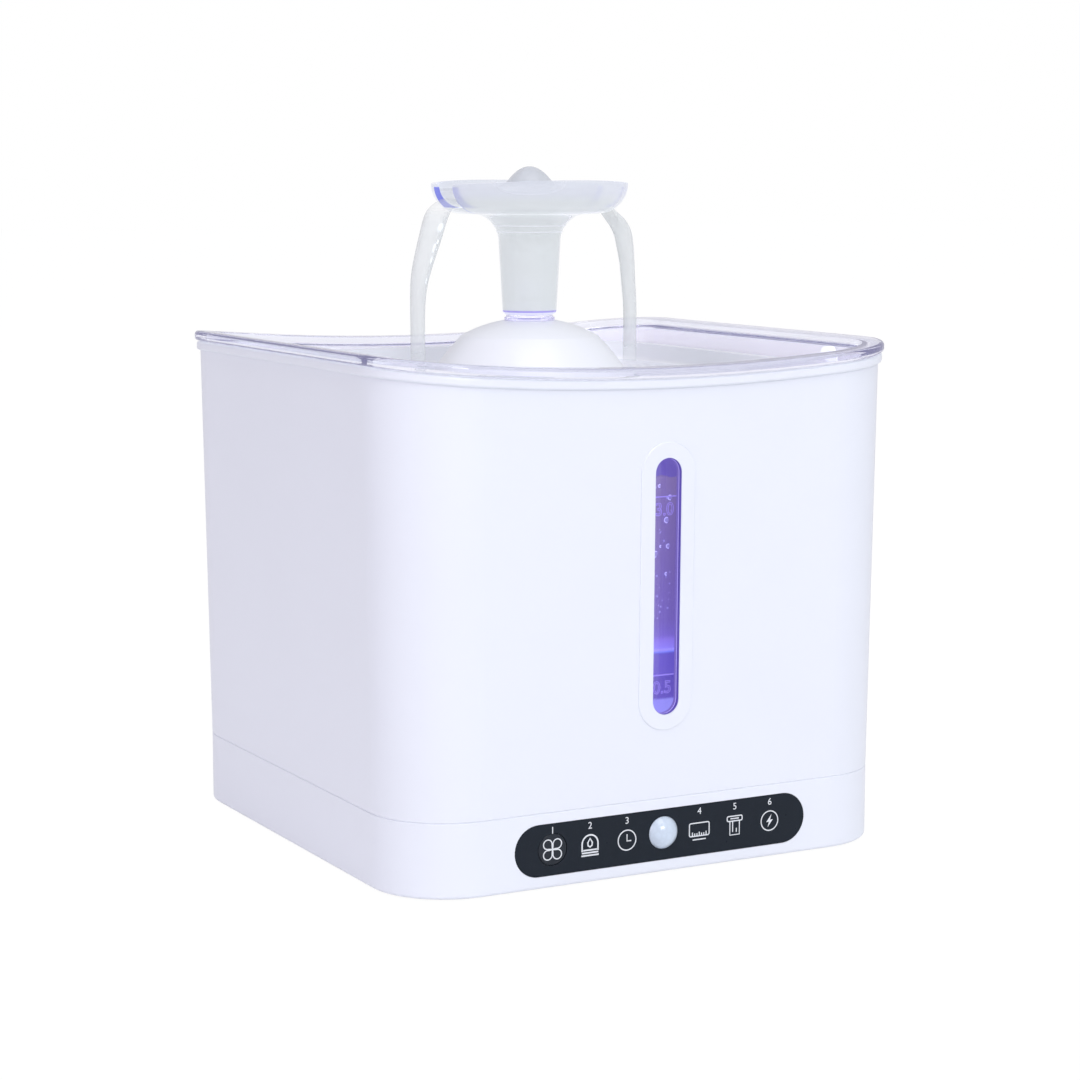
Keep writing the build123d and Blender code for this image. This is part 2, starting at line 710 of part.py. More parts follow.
hinge_x = port_x - port_plug_width / 2 + port_plug_thickness / 2
hinge_y = half_body - port_plug_thickness / 2
with BuildPart() as port_plug:
    # flap with a round hinge edge, seen from above
    with BuildSketch(Plane.XY.offset(port_z - port_plug_height / 2)):
        with Locations((hinge_x, hinge_y)):
            Circle(port_plug_thickness / 2)
        with Locations(((hinge_x + port_x + port_plug_width / 2) / 2, hinge_y)):
            Rectangle(port_x + port_plug_width / 2 - hinge_x, port_plug_thickness)
    extrude(amount=port_plug_height)
    fillet(port_plug.edges().filter_by(Axis.Y).group_by(Axis.X)[-1], port_plug_round)
    with BuildSketch(rear.offset(-port_plug_thickness)):
        with Locations((-port_x, port_z)):
            RectangleRounded(
                socket_width - 2 * socket_wall - 2 * seat_gap - fit_gap,
                socket_height - 2 * socket_wall - 2 * fit_gap,
                port_lip_round,
            )
    extrude(amount=-port_plug_lip)
port_plug.part.label = "port_plug"
export_step(port_plug.part, "parts/port_plug.step")

cell_z = cover_top + holder_wall + cell_radius
cell_ends = [
    Plane(
        origin=(battery_x + (index - (cell_count - 1) / 2) * cell_pitch, -cell_length / 2, cell_z),
        x_dir=(1, 0, 0),
        z_dir=(0, 1, 0),
    )
    for index in range(cell_count)
]
with BuildPart() as battery_cells:
    with Locations(*cell_ends):
        Cylinder(cell_radius, cell_length, align=upward)
        Cylinder(cell_cap_radius, cell_length + cell_cap_height, align=upward)
battery_cells.part.label = "battery_cells"
export_step(battery_cells.part, "parts/battery_cells.step")

with BuildPart() as battery_holder:
    with Locations((battery_x, cell_cap_height / 2, cover_top)):
        Box(
            holder_width,
            cell_length + cell_cap_height + 2 * holder_wall,
            holder_wall + cell_radius,
            align=upward,
        )
    with Locations(*cell_ends):
        Cylinder(cell_radius, cell_length + cell_cap_height, align=upward, mode=Mode.SUBTRACT)
battery_holder.part.label = "battery_holder"
export_step(battery_holder.part, "parts/battery_holder.step")

with BuildPart() as coil_bobbin:
    with BuildSketch(Plane.XZ):
        with BuildLine():
            Polyline(
                (core_radius, coil_low),
                (coil_radius, coil_low),
                (coil_radius, coil_low + coil_flange),
                (coil_tube_radius, coil_low + coil_flange),
                (coil_tube_radius, deck_under - coil_flange),
                (coil_radius, deck_under - coil_flange),
                (coil_radius, deck_under),
                (core_radius, deck_under),
                close=True,
            )
        make_face()
    revolve(axis=Axis.Z)
coil_bobbin.part.label = "coil_bobbin"
export_step(coil_bobbin.part, "parts/coil_bobbin.step")

with BuildPart() as coil_winding:
    with BuildSketch(Plane.XY.offset(coil_low + coil_flange)):
        Circle(coil_radius - coil_flange)
        Circle(coil_tube_radius, mode=Mode.SUBTRACT)
    extrude(amount=coil_height - 2 * coil_flange)
coil_winding.part.label = "coil_winding"
export_step(coil_winding.part, "parts/coil_winding.step")

with BuildPart() as coil_core:
    with Locations((0, 0, coil_low)):
        Cylinder(core_radius, coil_height, align=upward)
coil_core.part.label = "coil_core"
export_step(coil_core.part, "parts/coil_core.step")

with BuildPart() as coil_retainer:
    with BuildSketch(Plane.XY.offset(coil_low - retainer_thickness)):
        Circle(retainer_post_place)
        with PolarLocations(retainer_post_place, retainer_post_count):
            Circle(retainer_post_radius)
        Circle(core_radius + coil_flange, mode=Mode.SUBTRACT)
        with PolarLocations(retainer_post_place, retainer_post_count):
            Circle(board_screw_radius, mode=Mode.SUBTRACT)
    extrude(amount=retainer_thickness)
coil_retainer.part.label = "coil_retainer"
export_step(coil_retainer.part, "parts/coil_retainer.step")

with BuildPart() as light_board:
    with BuildSketch(Plane.XY.offset(light_board_top - board_thickness)):
        Circle(light_ring_outer)
        Circle(light_ring_inner, mode=Mode.SUBTRACT)
        with PolarLocations(light_window_place, light_count, start_angle=between_windows):
            Circle(board_screw_radius, mode=Mode.SUBTRACT)
    extrude(amount=board_thickness)
light_board.part.label = "light_board"
export_step(light_board.part, "parts/light_board.step")

with BuildPart() as tank_leds:
    with Locations((0, 0, light_board_top)):
        with PolarLocations(light_window_place, light_count):
            Box(tank_led_side, tank_led_side, led_height, align=upward)
tank_leds.part.label = "tank_leds"
export_step(tank_leds.part, "parts/tank_leds.step")

with BuildPart() as light_windows:
    with Locations((0, 0, deck_under)):
        with PolarLocations(light_window_place, light_count):
            Cylinder(light_window_radius, deck_thickness, align=upward)
            Cylinder(light_window_radius + flange_width, flange_thickness, align=downward)
light_windows.part.label = "light_windows"
export_step(light_windows.part, "parts/light_windows.step")

# small screws: at the clamped face, +Z of each plane into the post
board_screw_planes = [
    Plane(origin=(x, -half_body + board_front + board_thickness, icon_z), x_dir=(1, 0, 0), z_dir=(0, -1, 0))
    for x in (-panel_screw_x, panel_screw_x)
]
board_screw_planes += [
    Plane(
        origin=(
            main_board_x + side * (main_board_width / 2 - standoff_radius),
            main_board_y + end * (main_board_length / 2 - standoff_radius),
            main_board_z + board_thickness,
        ),
        x_dir=(1, 0, 0),
        z_dir=(0, 0, -1),
    )
    for side in (-1, 1)
    for end in (-1, 1)
]
board_screw_planes += [
    Plane(
        origin=(
            light_window_place * cos(radians(between_windows + index * 360 / light_count)),
            light_window_place * sin(radians(between_windows + index * 360 / light_count)),
            light_board_top - board_thickness,
        ),
        x_dir=(1, 0, 0),
        z_dir=(0, 0, 1),
    )
    for index in range(light_count)
]
board_screw_planes += [
    Plane(
        origin=(
            retainer_post_place * cos(radians(index * 360 / retainer_post_count)),
            retainer_post_place * sin(radians(index * 360 / retainer_post_count)),
            coil_low - retainer_thickness,
        ),
        x_dir=(1, 0, 0),
        z_dir=(0, 0, 1),
    )
    for index in range(retainer_post_count)
]
with BuildPart() as board_screws:
    with Locations(*board_screw_planes):
        Cylinder(board_screw_head, board_screw_head_height, align=downward)
        Cylinder(board_screw_radius - running_gap, board_screw_length, align=upward)
board_screws.part.label = "board_screws"
export_step(board_screws.part, "parts/board_screws.step")

# ================================================================== tank
shaft_low = floor_z - shaft_boss_height / 2
pump_seat_radius = pump_radius + fit_gap
with BuildPart() as rim_band:
    with BuildSketch(Plane.XY.offset(rim_top - rim_sag - 2 * rim_thickness)):
        RectangleRounded(*outline(rim_top, -rim_overhang))
    extrude(amount=rim_sag + 3 * rim_thickness)
    with Locations((0, 0, saddle_axis_z)):
        Cylinder(saddle_radius + rim_thickness, saddle_span, rotation=(90, 0, 0), mode=Mode.INTERSECT)
        Cylinder(saddle_radius, saddle_span, rotation=(90, 0, 0), mode=Mode.SUBTRACT)
    fillet(rim_band.edges().filter_by(Axis.Z, reverse=True), rim_round)

with BuildPart() as tank_cavity:
    with BuildSketch(Plane.XY.offset(floor_z)):
        RectangleRounded(*outline(floor_z, tub_inset + tank_wall))
    extrude(amount=shoulder_z - floor_z, taper=-lean)
    fillet(tank_cavity.faces().sort_by(Axis.Z)[0].edges(), tank_inner_round)

with BuildPart() as water_tank:
    with BuildSketch(Plane.XY.offset(tank_low)):
        RectangleRounded(*outline(tank_low, tub_inset))
    extrude(amount=shoulder_z - tank_low, taper=-lean)
    fillet(water_tank.faces().sort_by(Axis.Z)[0].edges(), tank_foot_round)
    with BuildSketch(Plane.XY.offset(shoulder_z - tank_wall)):
        RectangleRounded(*outline(shoulder_z - tank_wall, collar_inset))
    extrude(amount=rim_top + rim_thickness - shoulder_z + tank_wall, taper=-lean)
    with Locations((0, 0, saddle_axis_z)):
        Cylinder(saddle_radius + rim_thickness / 2, saddle_span, rotation=(90, 0, 0), mode=Mode.SUBTRACT)
    add(rim_band.part)
    with BuildSketch(Plane.XY.offset(shoulder_z)):
        RectangleRounded(*outline(shoulder_z, collar_inset + tank_wall))
    extrude(amount=rim_top + rim_thickness - shoulder_z, taper=-lean, mode=Mode.SUBTRACT)
    add(tank_cavity.part, mode=Mode.SUBTRACT)
    # seat of the pump and boss of its shaft
    with Locations((0, 0, floor_z)):
        Cylinder(pump_seat_radius + pump_wall, pump_seat_height, align=upward)
        Cylinder(pump_seat_radius, pump_seat_height, align=upward, mode=Mode.SUBTRACT)
        Cylinder(shaft_boss_radius, shaft_boss_height, align=upward)
    with Locations((0, 0, shaft_low)):
        Cylinder(shaft_radius, 2 * shaft_boss_height, align=upward, mode=Mode.SUBTRACT)
water_tank.part.label = "water_tank"
export_step(water_tank.part, "parts/water_tank.step")

# ================================================================== pump
eye_z = floor_z + eye_height
pump_top = floor_z + pump_height
with BuildPart() as pump_housing:
    with Locations((0, 0, floor_z)):
        Cylinder(pump_radius, pump_height, align=upward)
        Cylinder(pump_radius - pump_wall, pump_height, align=upward, mode=Mode.SUBTRACT)
    with BuildSketch(Plane.XY.offset(eye_z)):
        Circle(pump_radius - pump_wall)
        Circle(eye_radius, mode=Mode.SUBTRACT)
    extrude(amount=eye_plate)
    with Locations((0, 0, floor_z + pump_seat_height + intake_height / 2 + fit_gap)):
        with PolarLocations(pump_radius - pump_wall / 2, intake_count):
            Box(3 * pump_wall, intake_width, intake_height, mode=Mode.SUBTRACT)
pump_housing.part.label = "pump_housing"
export_step(pump_housing.part, "parts/pump_housing.step")

nipple_radius = riser_inner - slide_gap
with BuildPart() as pump_cover:
    with BuildSketch(Plane.XZ):
        with BuildLine():
            Polyline(
                (nipple_radius - nipple_wall, pump_top - pump_cover_thickness),
                (pump_radius - pump_wall - fit_gap, pump_top - pump_cover_thickness),
                (pump_radius - pump_wall - fit_gap, pump_top),
                (pump_radius, pump_top),
                (pump_radius, pump_top + pump_cover_thickness),
                (riser_inner + riser_wall, pump_top + 2 * pump_cover_thickness),
                (nipple_radius, pump_top + 2 * pump_cover_thickness),
                (nipple_radius, pump_top + 2 * pump_cover_thickness + nipple_length),
                (nipple_radius - nipple_wall, pump_top + 2 * pump_cover_thickness + nipple_length),
                close=True,
            )
        make_face()
    revolve(axis=Axis.Z)
pump_cover.part.label = "pump_cover"
export_step(pump_cover.part, "parts/pump_cover.step")

with BuildPart() as pump_shaft:
    with Locations((0, 0, shaft_low)):
        Cylinder(shaft_radius - running_gap / 2, shaft_length, align=upward)
    chamfer(pump_shaft.edges().group_by(Axis.Z)[-1], shaft_chamfer)
pump_shaft.part.label = "pump_shaft"
export_step(pump_shaft.part, "parts/pump_shaft.step")

rotor_low = floor_z + shaft_boss_height + seat_gap
shroud_z = eye_z + eye_plate + seat_gap
blade_start = hub_radius - blade_root
blade_end = blade_radius - blade_margin
blade_top = shroud_z + shroud_thickness + blade_height
hub_top = blade_top - blade_height / 3
shaft_hole = shaft_radius + running_gap
with BuildPart() as impeller:
    with Locations((0, 0, rotor_low)):
        Cylinder(hub_radius, hub_top - rotor_low, align=upward)
    with Locations((0, 0, shroud_z)):
        Cylinder(blade_radius, shroud_thickness, align=upward)
    # inlet windows in the shroud above the eye
    with Locations((0, 0, shroud_z + shroud_thickness / 2)):
        with PolarLocations((hub_radius + eye_radius) / 2, blade_count):
            Cylinder((eye_radius - hub_radius) / 2 - fit_gap, shroud_thickness, mode=Mode.SUBTRACT)
    with BuildSketch(Plane.XY.offset(shroud_z + shroud_thickness)):
        for index in range(blade_count):
            with BuildLine(Plane.XY.rotated((0, 0, index * 360 / blade_count))):
                RadiusArc(
                    (blade_start, 0),
                    (blade_end * cos(radians(blade_sweep)), blade_end * sin(radians(blade_sweep))),
                    -blade_radius,
                )
            trace(line_width=blade_thickness)
    extrude(amount=blade_height)
    with Locations((0, 0, rotor_low)):
        Cylinder(shaft_hole, hub_top - rotor_low, align=upward, mode=Mode.SUBTRACT)
        Cylinder(bush_radius, bush_length, align=upward, mode=Mode.SUBTRACT)
    with Locations((0, 0, hub_top)):
        Cylinder(bush_radius, bush_length, align=downward, mode=Mode.SUBTRACT)
impeller.part.label = "impeller"
export_step(impeller.part, "parts/impeller.step")

with BuildPart() as shaft_bushes:
    with Locations((0, 0, rotor_low), (0, 0, hub_top - bush_length)):
        Cylinder(bush_radius, bush_length, align=upward)
        Cylinder(shaft_hole, bush_length, align=upward, mode=Mode.SUBTRACT)
shaft_bushes.part.label = "shaft_bushes"
export_step(shaft_bushes.part, "parts/shaft_bushes.step")

with BuildPart() as rotor_magnet:
    with Locations((0, 0, rotor_low)):
        Cylinder(magnet_radius, magnet_height, align=upward)
        Cylinder(hub_radius, magnet_height, align=upward, mode=Mode.SUBTRACT)
    outer_edges = rotor_magnet.edges().filter_by(GeomType.CIRCLE).filter_by(lambda e: e.radius > hub_radius)
    chamfer(outer_edges, magnet_chamfer)
rotor_magnet.part.label = "rotor_magnet"
export_step(rotor_magnet.part, "parts/rotor_magnet.step")

with BuildPart() as pump_sponge:
    with Locations((0, 0, floor_z + pump_seat_height)):
        Cylinder(pump_radius + fit_gap + sponge_thickness, sponge_height, align=upward)
        Cylinder(pump_radius + fit_gap, sponge_height, align=upward, mode=Mode.SUBTRACT)
pump_sponge.part.label = "pump_sponge"
export_step(pump_sponge.part, "parts/pump_sponge.step")

riser_low = pump_top + 2 * pump_cover_thickness
riser_top = dome_top - seat_gap - collar_bead_height
riser_radius = riser_inner + riser_wall
with BuildPart() as riser_tube:
    with Locations((0, 0, riser_low)):
        Cylinder(riser_radius, riser_top - riser_low, align=upward)
        Cylinder(riser_inner, riser_top - riser_low, align=upward, mode=Mode.SUBTRACT)
    chamfer(riser_tube.edges().group_by(Axis.Z)[-1], riser_chamfer)
riser_tube.part.label = "riser_tube"
export_step(riser_tube.part, "parts/riser_tube.step")

# ================================================================== drinking tray
tray_inset = collar_inset + tank_wall + lift_gap
basin_inset = tub_inset + tank_wall + lift_gap
dome_shoulder_z = dome_top - dome_shoulder_drop
collar_hole = collar_barrel_radius
basket_top = tray_under
tab_y = tab_margin - half_body
dome_shoulder_inside = (dome_shoulder_radius - dome_wall / 2, dome_shoulder_z - dome_wall)

with BuildPart() as basin:
    with BuildSketch(Plane.XY.offset(tray_floor_z)):
        RectangleRounded(*outline(tray_floor_z, basin_inset + tray_wall))
    extrude(amount=tray_depth, taper=-lean)
    fillet(basin.faces().sort_by(Axis.Z)[0].edges(), tray_round)

with BuildPart() as dome_hollow:
    with BuildSketch(Plane.XZ):
        with BuildLine():
            Polyline(
                (dome_flat_radius, dome_top - dome_wall),
                (0, dome_top - dome_wall),
                (0, tray_under),
                (dome_foot_radius - dome_wall, tray_under),
                (dome_foot_radius - dome_wall, tray_floor_z),
            )
            RadiusArc(
                (dome_foot_radius - dome_wall, tray_floor_z), dome_shoulder_inside, -dome_flank_round
            )
            RadiusArc(
                dome_shoulder_inside, (dome_flat_radius, dome_top - dome_wall), -dome_crown_round
            )
        make_face()
    revolve(axis=Axis.Z)

with BuildPart() as drinking_tray:
    with BuildSketch(Plane.XY.offset(tray_under)):
        RectangleRounded(*outline(tray_under, basin_inset))
    extrude(amount=tray_rim_z - tray_under, taper=-lean)
    fillet(drinking_tray.faces().sort_by(Axis.Z)[0].edges(), tray_round)
    with BuildSketch(Plane.XY.offset(tray_rim_z - tray_wall)):
        RectangleRounded(*outline(tray_rim_z - tray_wall, tray_inset))
    extrude(amount=tray_wall, taper=-lean)
    add(basin.part, mode=Mode.SUBTRACT)
    # dome, from the basin floor to the flat under the collar
    with BuildSketch(Plane.XZ):
        with BuildLine():
            Polyline(
                (dome_flat_radius, dome_top),
                (0, dome_top),
                (0, tray_under),
                (dome_foot_radius, tray_under),
                (dome_foot_radius, tray_floor_z),
            )
            RadiusArc(
                (dome_foot_radius, tray_floor_z), (dome_shoulder_radius, dome_shoulder_z), -dome_flank_round
            )
            RadiusArc(
                (dome_shoulder_radius, dome_shoulder_z), (dome_flat_radius, dome_top), -dome_crown_round
            )
        make_face()
    revolve(axis=Axis.Z)
    add(dome_hollow.part, mode=Mode.SUBTRACT)
    with Locations((0, 0, dome_top)):
        Cylinder(collar_hole, 2 * dome_wall, mode=Mode.SUBTRACT)
    # drain slots round the foot of the dome
    with BuildSketch(Plane.XY.offset(tray_under)):
        with PolarLocations(drain_radius, drain_count):
            SlotOverall(drain_length, drain_width, 90)
    extrude(amount=tray_wall, mode=Mode.SUBTRACT)
    # skirt that takes the filter basket
    with BuildSketch(Plane.XY.offset(tray_under)):
        Circle(basket_radius + fit_gap + skirt_wall)
        Circle(basket_radius + fit_gap, mode=Mode.SUBTRACT)
    extrude(amount=-skirt_depth)
    # finger tab on the right edge
    tab_x = outline(tray_rim_z, tray_inset)[0] / 2 - tab_thickness / 2
    with BuildSketch(Plane.YZ.offset(tab_x - tab_thickness / 2)):
        with Locations((tab_y, tray_rim_z)):
            SlotOverall(2 * tab_height, tab_width, 90)
        with Locations((tab_y, tray_rim_z - tab_height)):
            Rectangle(tab_width, 2 * (tab_height - tray_wall / 2), mode=Mode.SUBTRACT)
    extrude(amount=tab_thickness)
drinking_tray.part.label = "drinking_tray"
export_step(drinking_tray.part, "parts/drinking_tray.step")

# ================================================================== filter under the tray
sleeve_inner = riser_radius + lift_gap
sleeve_outer = sleeve_inner + basket_wall
basket_low = basket_top - basket_height
with BuildPart() as filter_basket:
    with BuildSketch(Plane.XY.offset(basket_low)):
        Circle(basket_radius)
        Circle(sleeve_inner, mode=Mode.SUBTRACT)
    extrude(amount=basket_height)
    with BuildSketch(Plane.XY.offset(basket_low + basket_wall)):
        Circle(basket_radius - basket_wall)
        Circle(sleeve_outer, mode=Mode.SUBTRACT)
    extrude(amount=basket_height, mode=Mode.SUBTRACT)
    with BuildSketch(Plane.XY.offset(basket_low)):
        with PolarLocations((basket_radius + sleeve_outer) / 2, basket_slot_count):
            SlotOverall(basket_slot_length, basket_slot_width)
    extrude(amount=basket_wall, mode=Mode.SUBTRACT)
filter_basket.part.label = "filter_basket"
export_step(filter_basket.part, "parts/filter_basket.step")

fleece_low = basket_low + basket_wall
pad_outer = basket_radius - basket_wall - fit_gap
pad_inner = sleeve_outer + fit_gap
with BuildPart() as filter_fleece:
    with BuildSketch(Plane.XY.offset(fleece_low)):
        Circle(pad_outer)
        Circle(pad_inner, mode=Mode.SUBTRACT)
    extrude(amount=fleece_thickness)
filter_fleece.part.label = "filter_fleece"
export_step(filter_fleece.part, "parts/filter_fleece.step")

with BuildPart() as filter_carbon:
    with BuildSketch(Plane.XY.offset(fleece_low + fleece_thickness)):
        Circle(pad_outer)
        Circle(pad_inner, mode=Mode.SUBTRACT)
    extrude(amount=carbon_thickness)
filter_carbon.part.label = "filter_carbon"
export_step(filter_carbon.part, "parts/filter_carbon.step")

with BuildPart() as filter_lid:
    with BuildSketch(Plane.XY.offset(fleece_low + fleece_thickness + carbon_thickness)):
        Circle(pad_outer)
        Circle(pad_inner, mode=Mode.SUBTRACT)
        with PolarLocations(drain_radius, lid_hole_count):
            Circle(lid_hole_radius, mode=Mode.SUBTRACT)
        with PolarLocations((drain_radius + pad_inner) / 2, lid_hole_count // 2):
            Circle(lid_inner_hole_radius, mode=Mode.SUBTRACT)
    extrude(amount=basket_wall)
filter_lid.part.label = "filter_lid"
export_step(filter_lid.part, "parts/filter_lid.step")

# ================================================================== nozzle collar on the dome
neck_top = dome_top + collar_bead_height + collar_neck_height
barrel_low = dome_top - collar_barrel_length
groove_z = neck_top + pipe_length / 2
with BuildPart() as nozzle_collar:
    with BuildSketch(Plane.XZ):
        with BuildLine():
            Polyline(
                (pipe_radius - pipe_wall, neck_top + pipe_length),
                (pipe_radius - pipe_wall, riser_top + seat_gap),
                (riser_radius + slide_gap, riser_top + seat_gap),
                (riser_radius + slide_gap, barrel_low),
                (collar_barrel_radius - fit_gap, barrel_low),
                (collar_barrel_radius - fit_gap, dome_top),
                (collar_bead_radius, dome_top),
                (collar_bead_radius, dome_top + collar_bead_height),
                (collar_neck_radius, dome_top + collar_bead_height),
                (collar_neck_radius, neck_top),
                (pipe_radius, neck_top),
                (pipe_radius, groove_z - o_ring_section),
                (pipe_radius - 2 * o_ring_section, groove_z - o_ring_section),
                (pipe_radius - 2 * o_ring_section, groove_z + o_ring_section),
                (pipe_radius, groove_z + o_ring_section),
                (pipe_radius, neck_top + pipe_length),
                close=True,
            )
        make_face()
    revolve(axis=Axis.Z)
    bead_edges = nozzle_collar.edges().filter_by(GeomType.CIRCLE).sort_by(SortBy.RADIUS)[-2:]
    fillet(bead_edges, collar_bead_round)
nozzle_collar.part.label = "nozzle_collar"
export_step(nozzle_collar.part, "parts/nozzle_collar.step")

with BuildPart() as spout_seal:
    with Locations((0, 0, groove_z)):
        Torus(pipe_radius - o_ring_section, o_ring_section)
spout_seal.part.label = "spout_seal"
export_step(spout_seal.part, "parts/spout_seal.step")

# ================================================================== spout tower
stem_low = neck_top + seat_gap
underside_z = stem_low + stem_length
rim_z = underside_z + bowl_height
haunch_z = underside_z - haunch_radius
bowl_inside = bowl_radius - bowl_wall
bowl_floor_z = underside_z + bowl_floor
socket_top = stem_low + pipe_length + seat_gap
ledge_z = haunch_z + bore_step
notch_half = notch_width / 2
notch_top = rim_z - rim_crown_radius + sqrt(rim_crown_radius**2 - bowl_radius**2)

with BuildPart() as spout_tower:
    with BuildSketch(Plane.XZ):
        with BuildLine():
            Polyline(
                (pipe_radius + slide_gap, stem_low),
                (stem_foot_radius - stem_round, stem_low),
            )
            ThreePointArc(
                (stem_foot_radius - stem_round, stem_low),
                (stem_foot_radius - stem_round * arc_middle, stem_low + stem_round * arc_middle),
                (stem_foot_radius, stem_low + stem_round),
            )
            Line((stem_foot_radius, stem_low + stem_round), (stem_top_radius, haunch_z))
            ThreePointArc(
                (stem_top_radius, haunch_z),
                (
                    stem_top_radius + haunch_radius * arc_middle,
                    underside_z - haunch_radius * arc_middle,
                ),
                (stem_top_radius + haunch_radius, underside_z),
            )
            Line((stem_top_radius + haunch_radius, underside_z), (bowl_radius - bowl_corner, underside_z))
            ThreePointArc(
                (bowl_radius - bowl_corner, underside_z),
                (bowl_radius - bowl_corner * arc_middle, underside_z + bowl_corner * arc_middle),
                (bowl_radius, underside_z + bowl_corner),
            )
            Polyline((bowl_radius, underside_z + bowl_corner), (bowl_radius, rim_z), (bowl_inside, rim_z))
            Line((bowl_inside, rim_z), (bowl_inside, underside_z + bowl_corner))
            inner_corner = bowl_corner - bowl_floor
            ThreePointArc(
                (bowl_inside, bowl_floor_z + inner_corner),
                (
                    bowl_inside - inner_corner * arc_middle,
                    bowl_floor_z + inner_corner * arc_middle,
                ),
                (bowl_inside - inner_corner, bowl_floor_z),
            )
            Polyline(
                (bowl_inside - inner_corner, bowl_floor_z),
                (bore_radius + 3 * bore_step, bowl_floor_z),
                (bore_radius + bore_step, bowl_floor_z - 2 * bore_step),
                (bore_radius + bore_step, ledge_z),
                (bore_radius, ledge_z),
                (bore_radius, socket_top + bore_step),
                (pipe_radius + slide_gap, socket_top),
                (pipe_radius + slide_gap, stem_low),
            )
        make_face()
    revolve(axis=Axis.Z)
    # the rim falls away towards both notches
    with Locations((0, 0, rim_z - rim_crown_radius)):
        Cylinder(rim_crown_radius, 4 * bowl_radius, rotation=(90, 0, 0), mode=Mode.INTERSECT)
    # one notch at each side, down to the bowl floor, with rounded tops
    with BuildSketch(Plane.YZ):
        with BuildLine():
            Polyline(
                (-notch_half, notch_top - notch_round),
                (-notch_half, bowl_floor_z),
                (notch_half, bowl_floor_z),
                (notch_half, notch_top - notch_round),
            )
            RadiusArc((notch_half, notch_top - notch_round), (notch_half + notch_round, notch_top), notch_round)
            Polyline(
                (notch_half + notch_round, notch_top),
                (notch_half + notch_round, rim_z),
                (-notch_half - notch_round, rim_z),
                (-notch_half - notch_round, notch_top),
            )
            RadiusArc(
                (-notch_half - notch_round, notch_top), (-notch_half, notch_top - notch_round), notch_round
            )
        make_face()
    extrude(amount=bowl_radius, both=True, mode=Mode.SUBTRACT)
spout_tower.part.label = "spout_tower"
export_step(spout_tower.part, "parts/spout_tower.step")
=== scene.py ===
"""Finishes, printed marks, water and studio of the pet water fountain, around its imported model.

Everything is in metres in the model's own frame: +Z up, the control strip faces -Y.
"""

import logging
import math
import random
from dataclasses import dataclass, field, replace
from enum import Enum
from typing import Any, Iterable, Optional, Sequence, Union

import bmesh
import bpy
from mathutils import Matrix, Vector


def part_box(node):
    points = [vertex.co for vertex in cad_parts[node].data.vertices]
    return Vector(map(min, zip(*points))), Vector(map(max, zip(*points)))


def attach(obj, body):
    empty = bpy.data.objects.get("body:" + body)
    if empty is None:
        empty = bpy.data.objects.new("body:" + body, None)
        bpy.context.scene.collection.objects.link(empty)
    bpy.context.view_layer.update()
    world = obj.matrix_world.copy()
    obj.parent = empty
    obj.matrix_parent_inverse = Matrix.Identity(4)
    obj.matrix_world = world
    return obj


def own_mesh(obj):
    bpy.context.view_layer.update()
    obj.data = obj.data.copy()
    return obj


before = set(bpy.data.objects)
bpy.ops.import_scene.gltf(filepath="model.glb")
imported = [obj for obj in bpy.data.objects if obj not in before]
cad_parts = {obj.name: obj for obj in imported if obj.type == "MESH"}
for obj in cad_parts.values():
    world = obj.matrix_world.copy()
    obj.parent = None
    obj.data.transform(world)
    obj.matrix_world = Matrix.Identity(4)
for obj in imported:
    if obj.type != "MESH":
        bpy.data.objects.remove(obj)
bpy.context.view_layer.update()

MM = 0.001
WELD = 0.0001 * MM
Point2 = tuple[float, float]
Point3 = tuple[float, float, float]
Colour = tuple[float, float, float]
Stroke = tuple[list[Point2], bool]
WHITE: Colour = (1.0, 1.0, 1.0)
BLACK: Colour = (0.0, 0.0, 0.0)
WATER_INDEX = 1.33
log = logging.getLogger("fountain")


class Body(Enum):
    """Rigid bodies that pieces ride on."""

    BASE = "base"
    BUTTON = "settings_button"
    TANK = "tank"
    TRAY = "tray"
    SPOUT = "spout"


class Maths(Enum):
    """Operations of a Math node that the finishes use."""

    ADD = "ADD"
    SUBTRACT = "SUBTRACT"
    MULTIPLY = "MULTIPLY"
    DIVIDE = "DIVIDE"
    POWER = "POWER"
    SINE = "SINE"
    ABSOLUTE = "ABSOLUTE"
    MAXIMUM = "MAXIMUM"


class Cells(Enum):
    """What a field of random cells measures."""

    MIDDLE = "F1"
    EDGE = "DISTANCE_TO_EDGE"


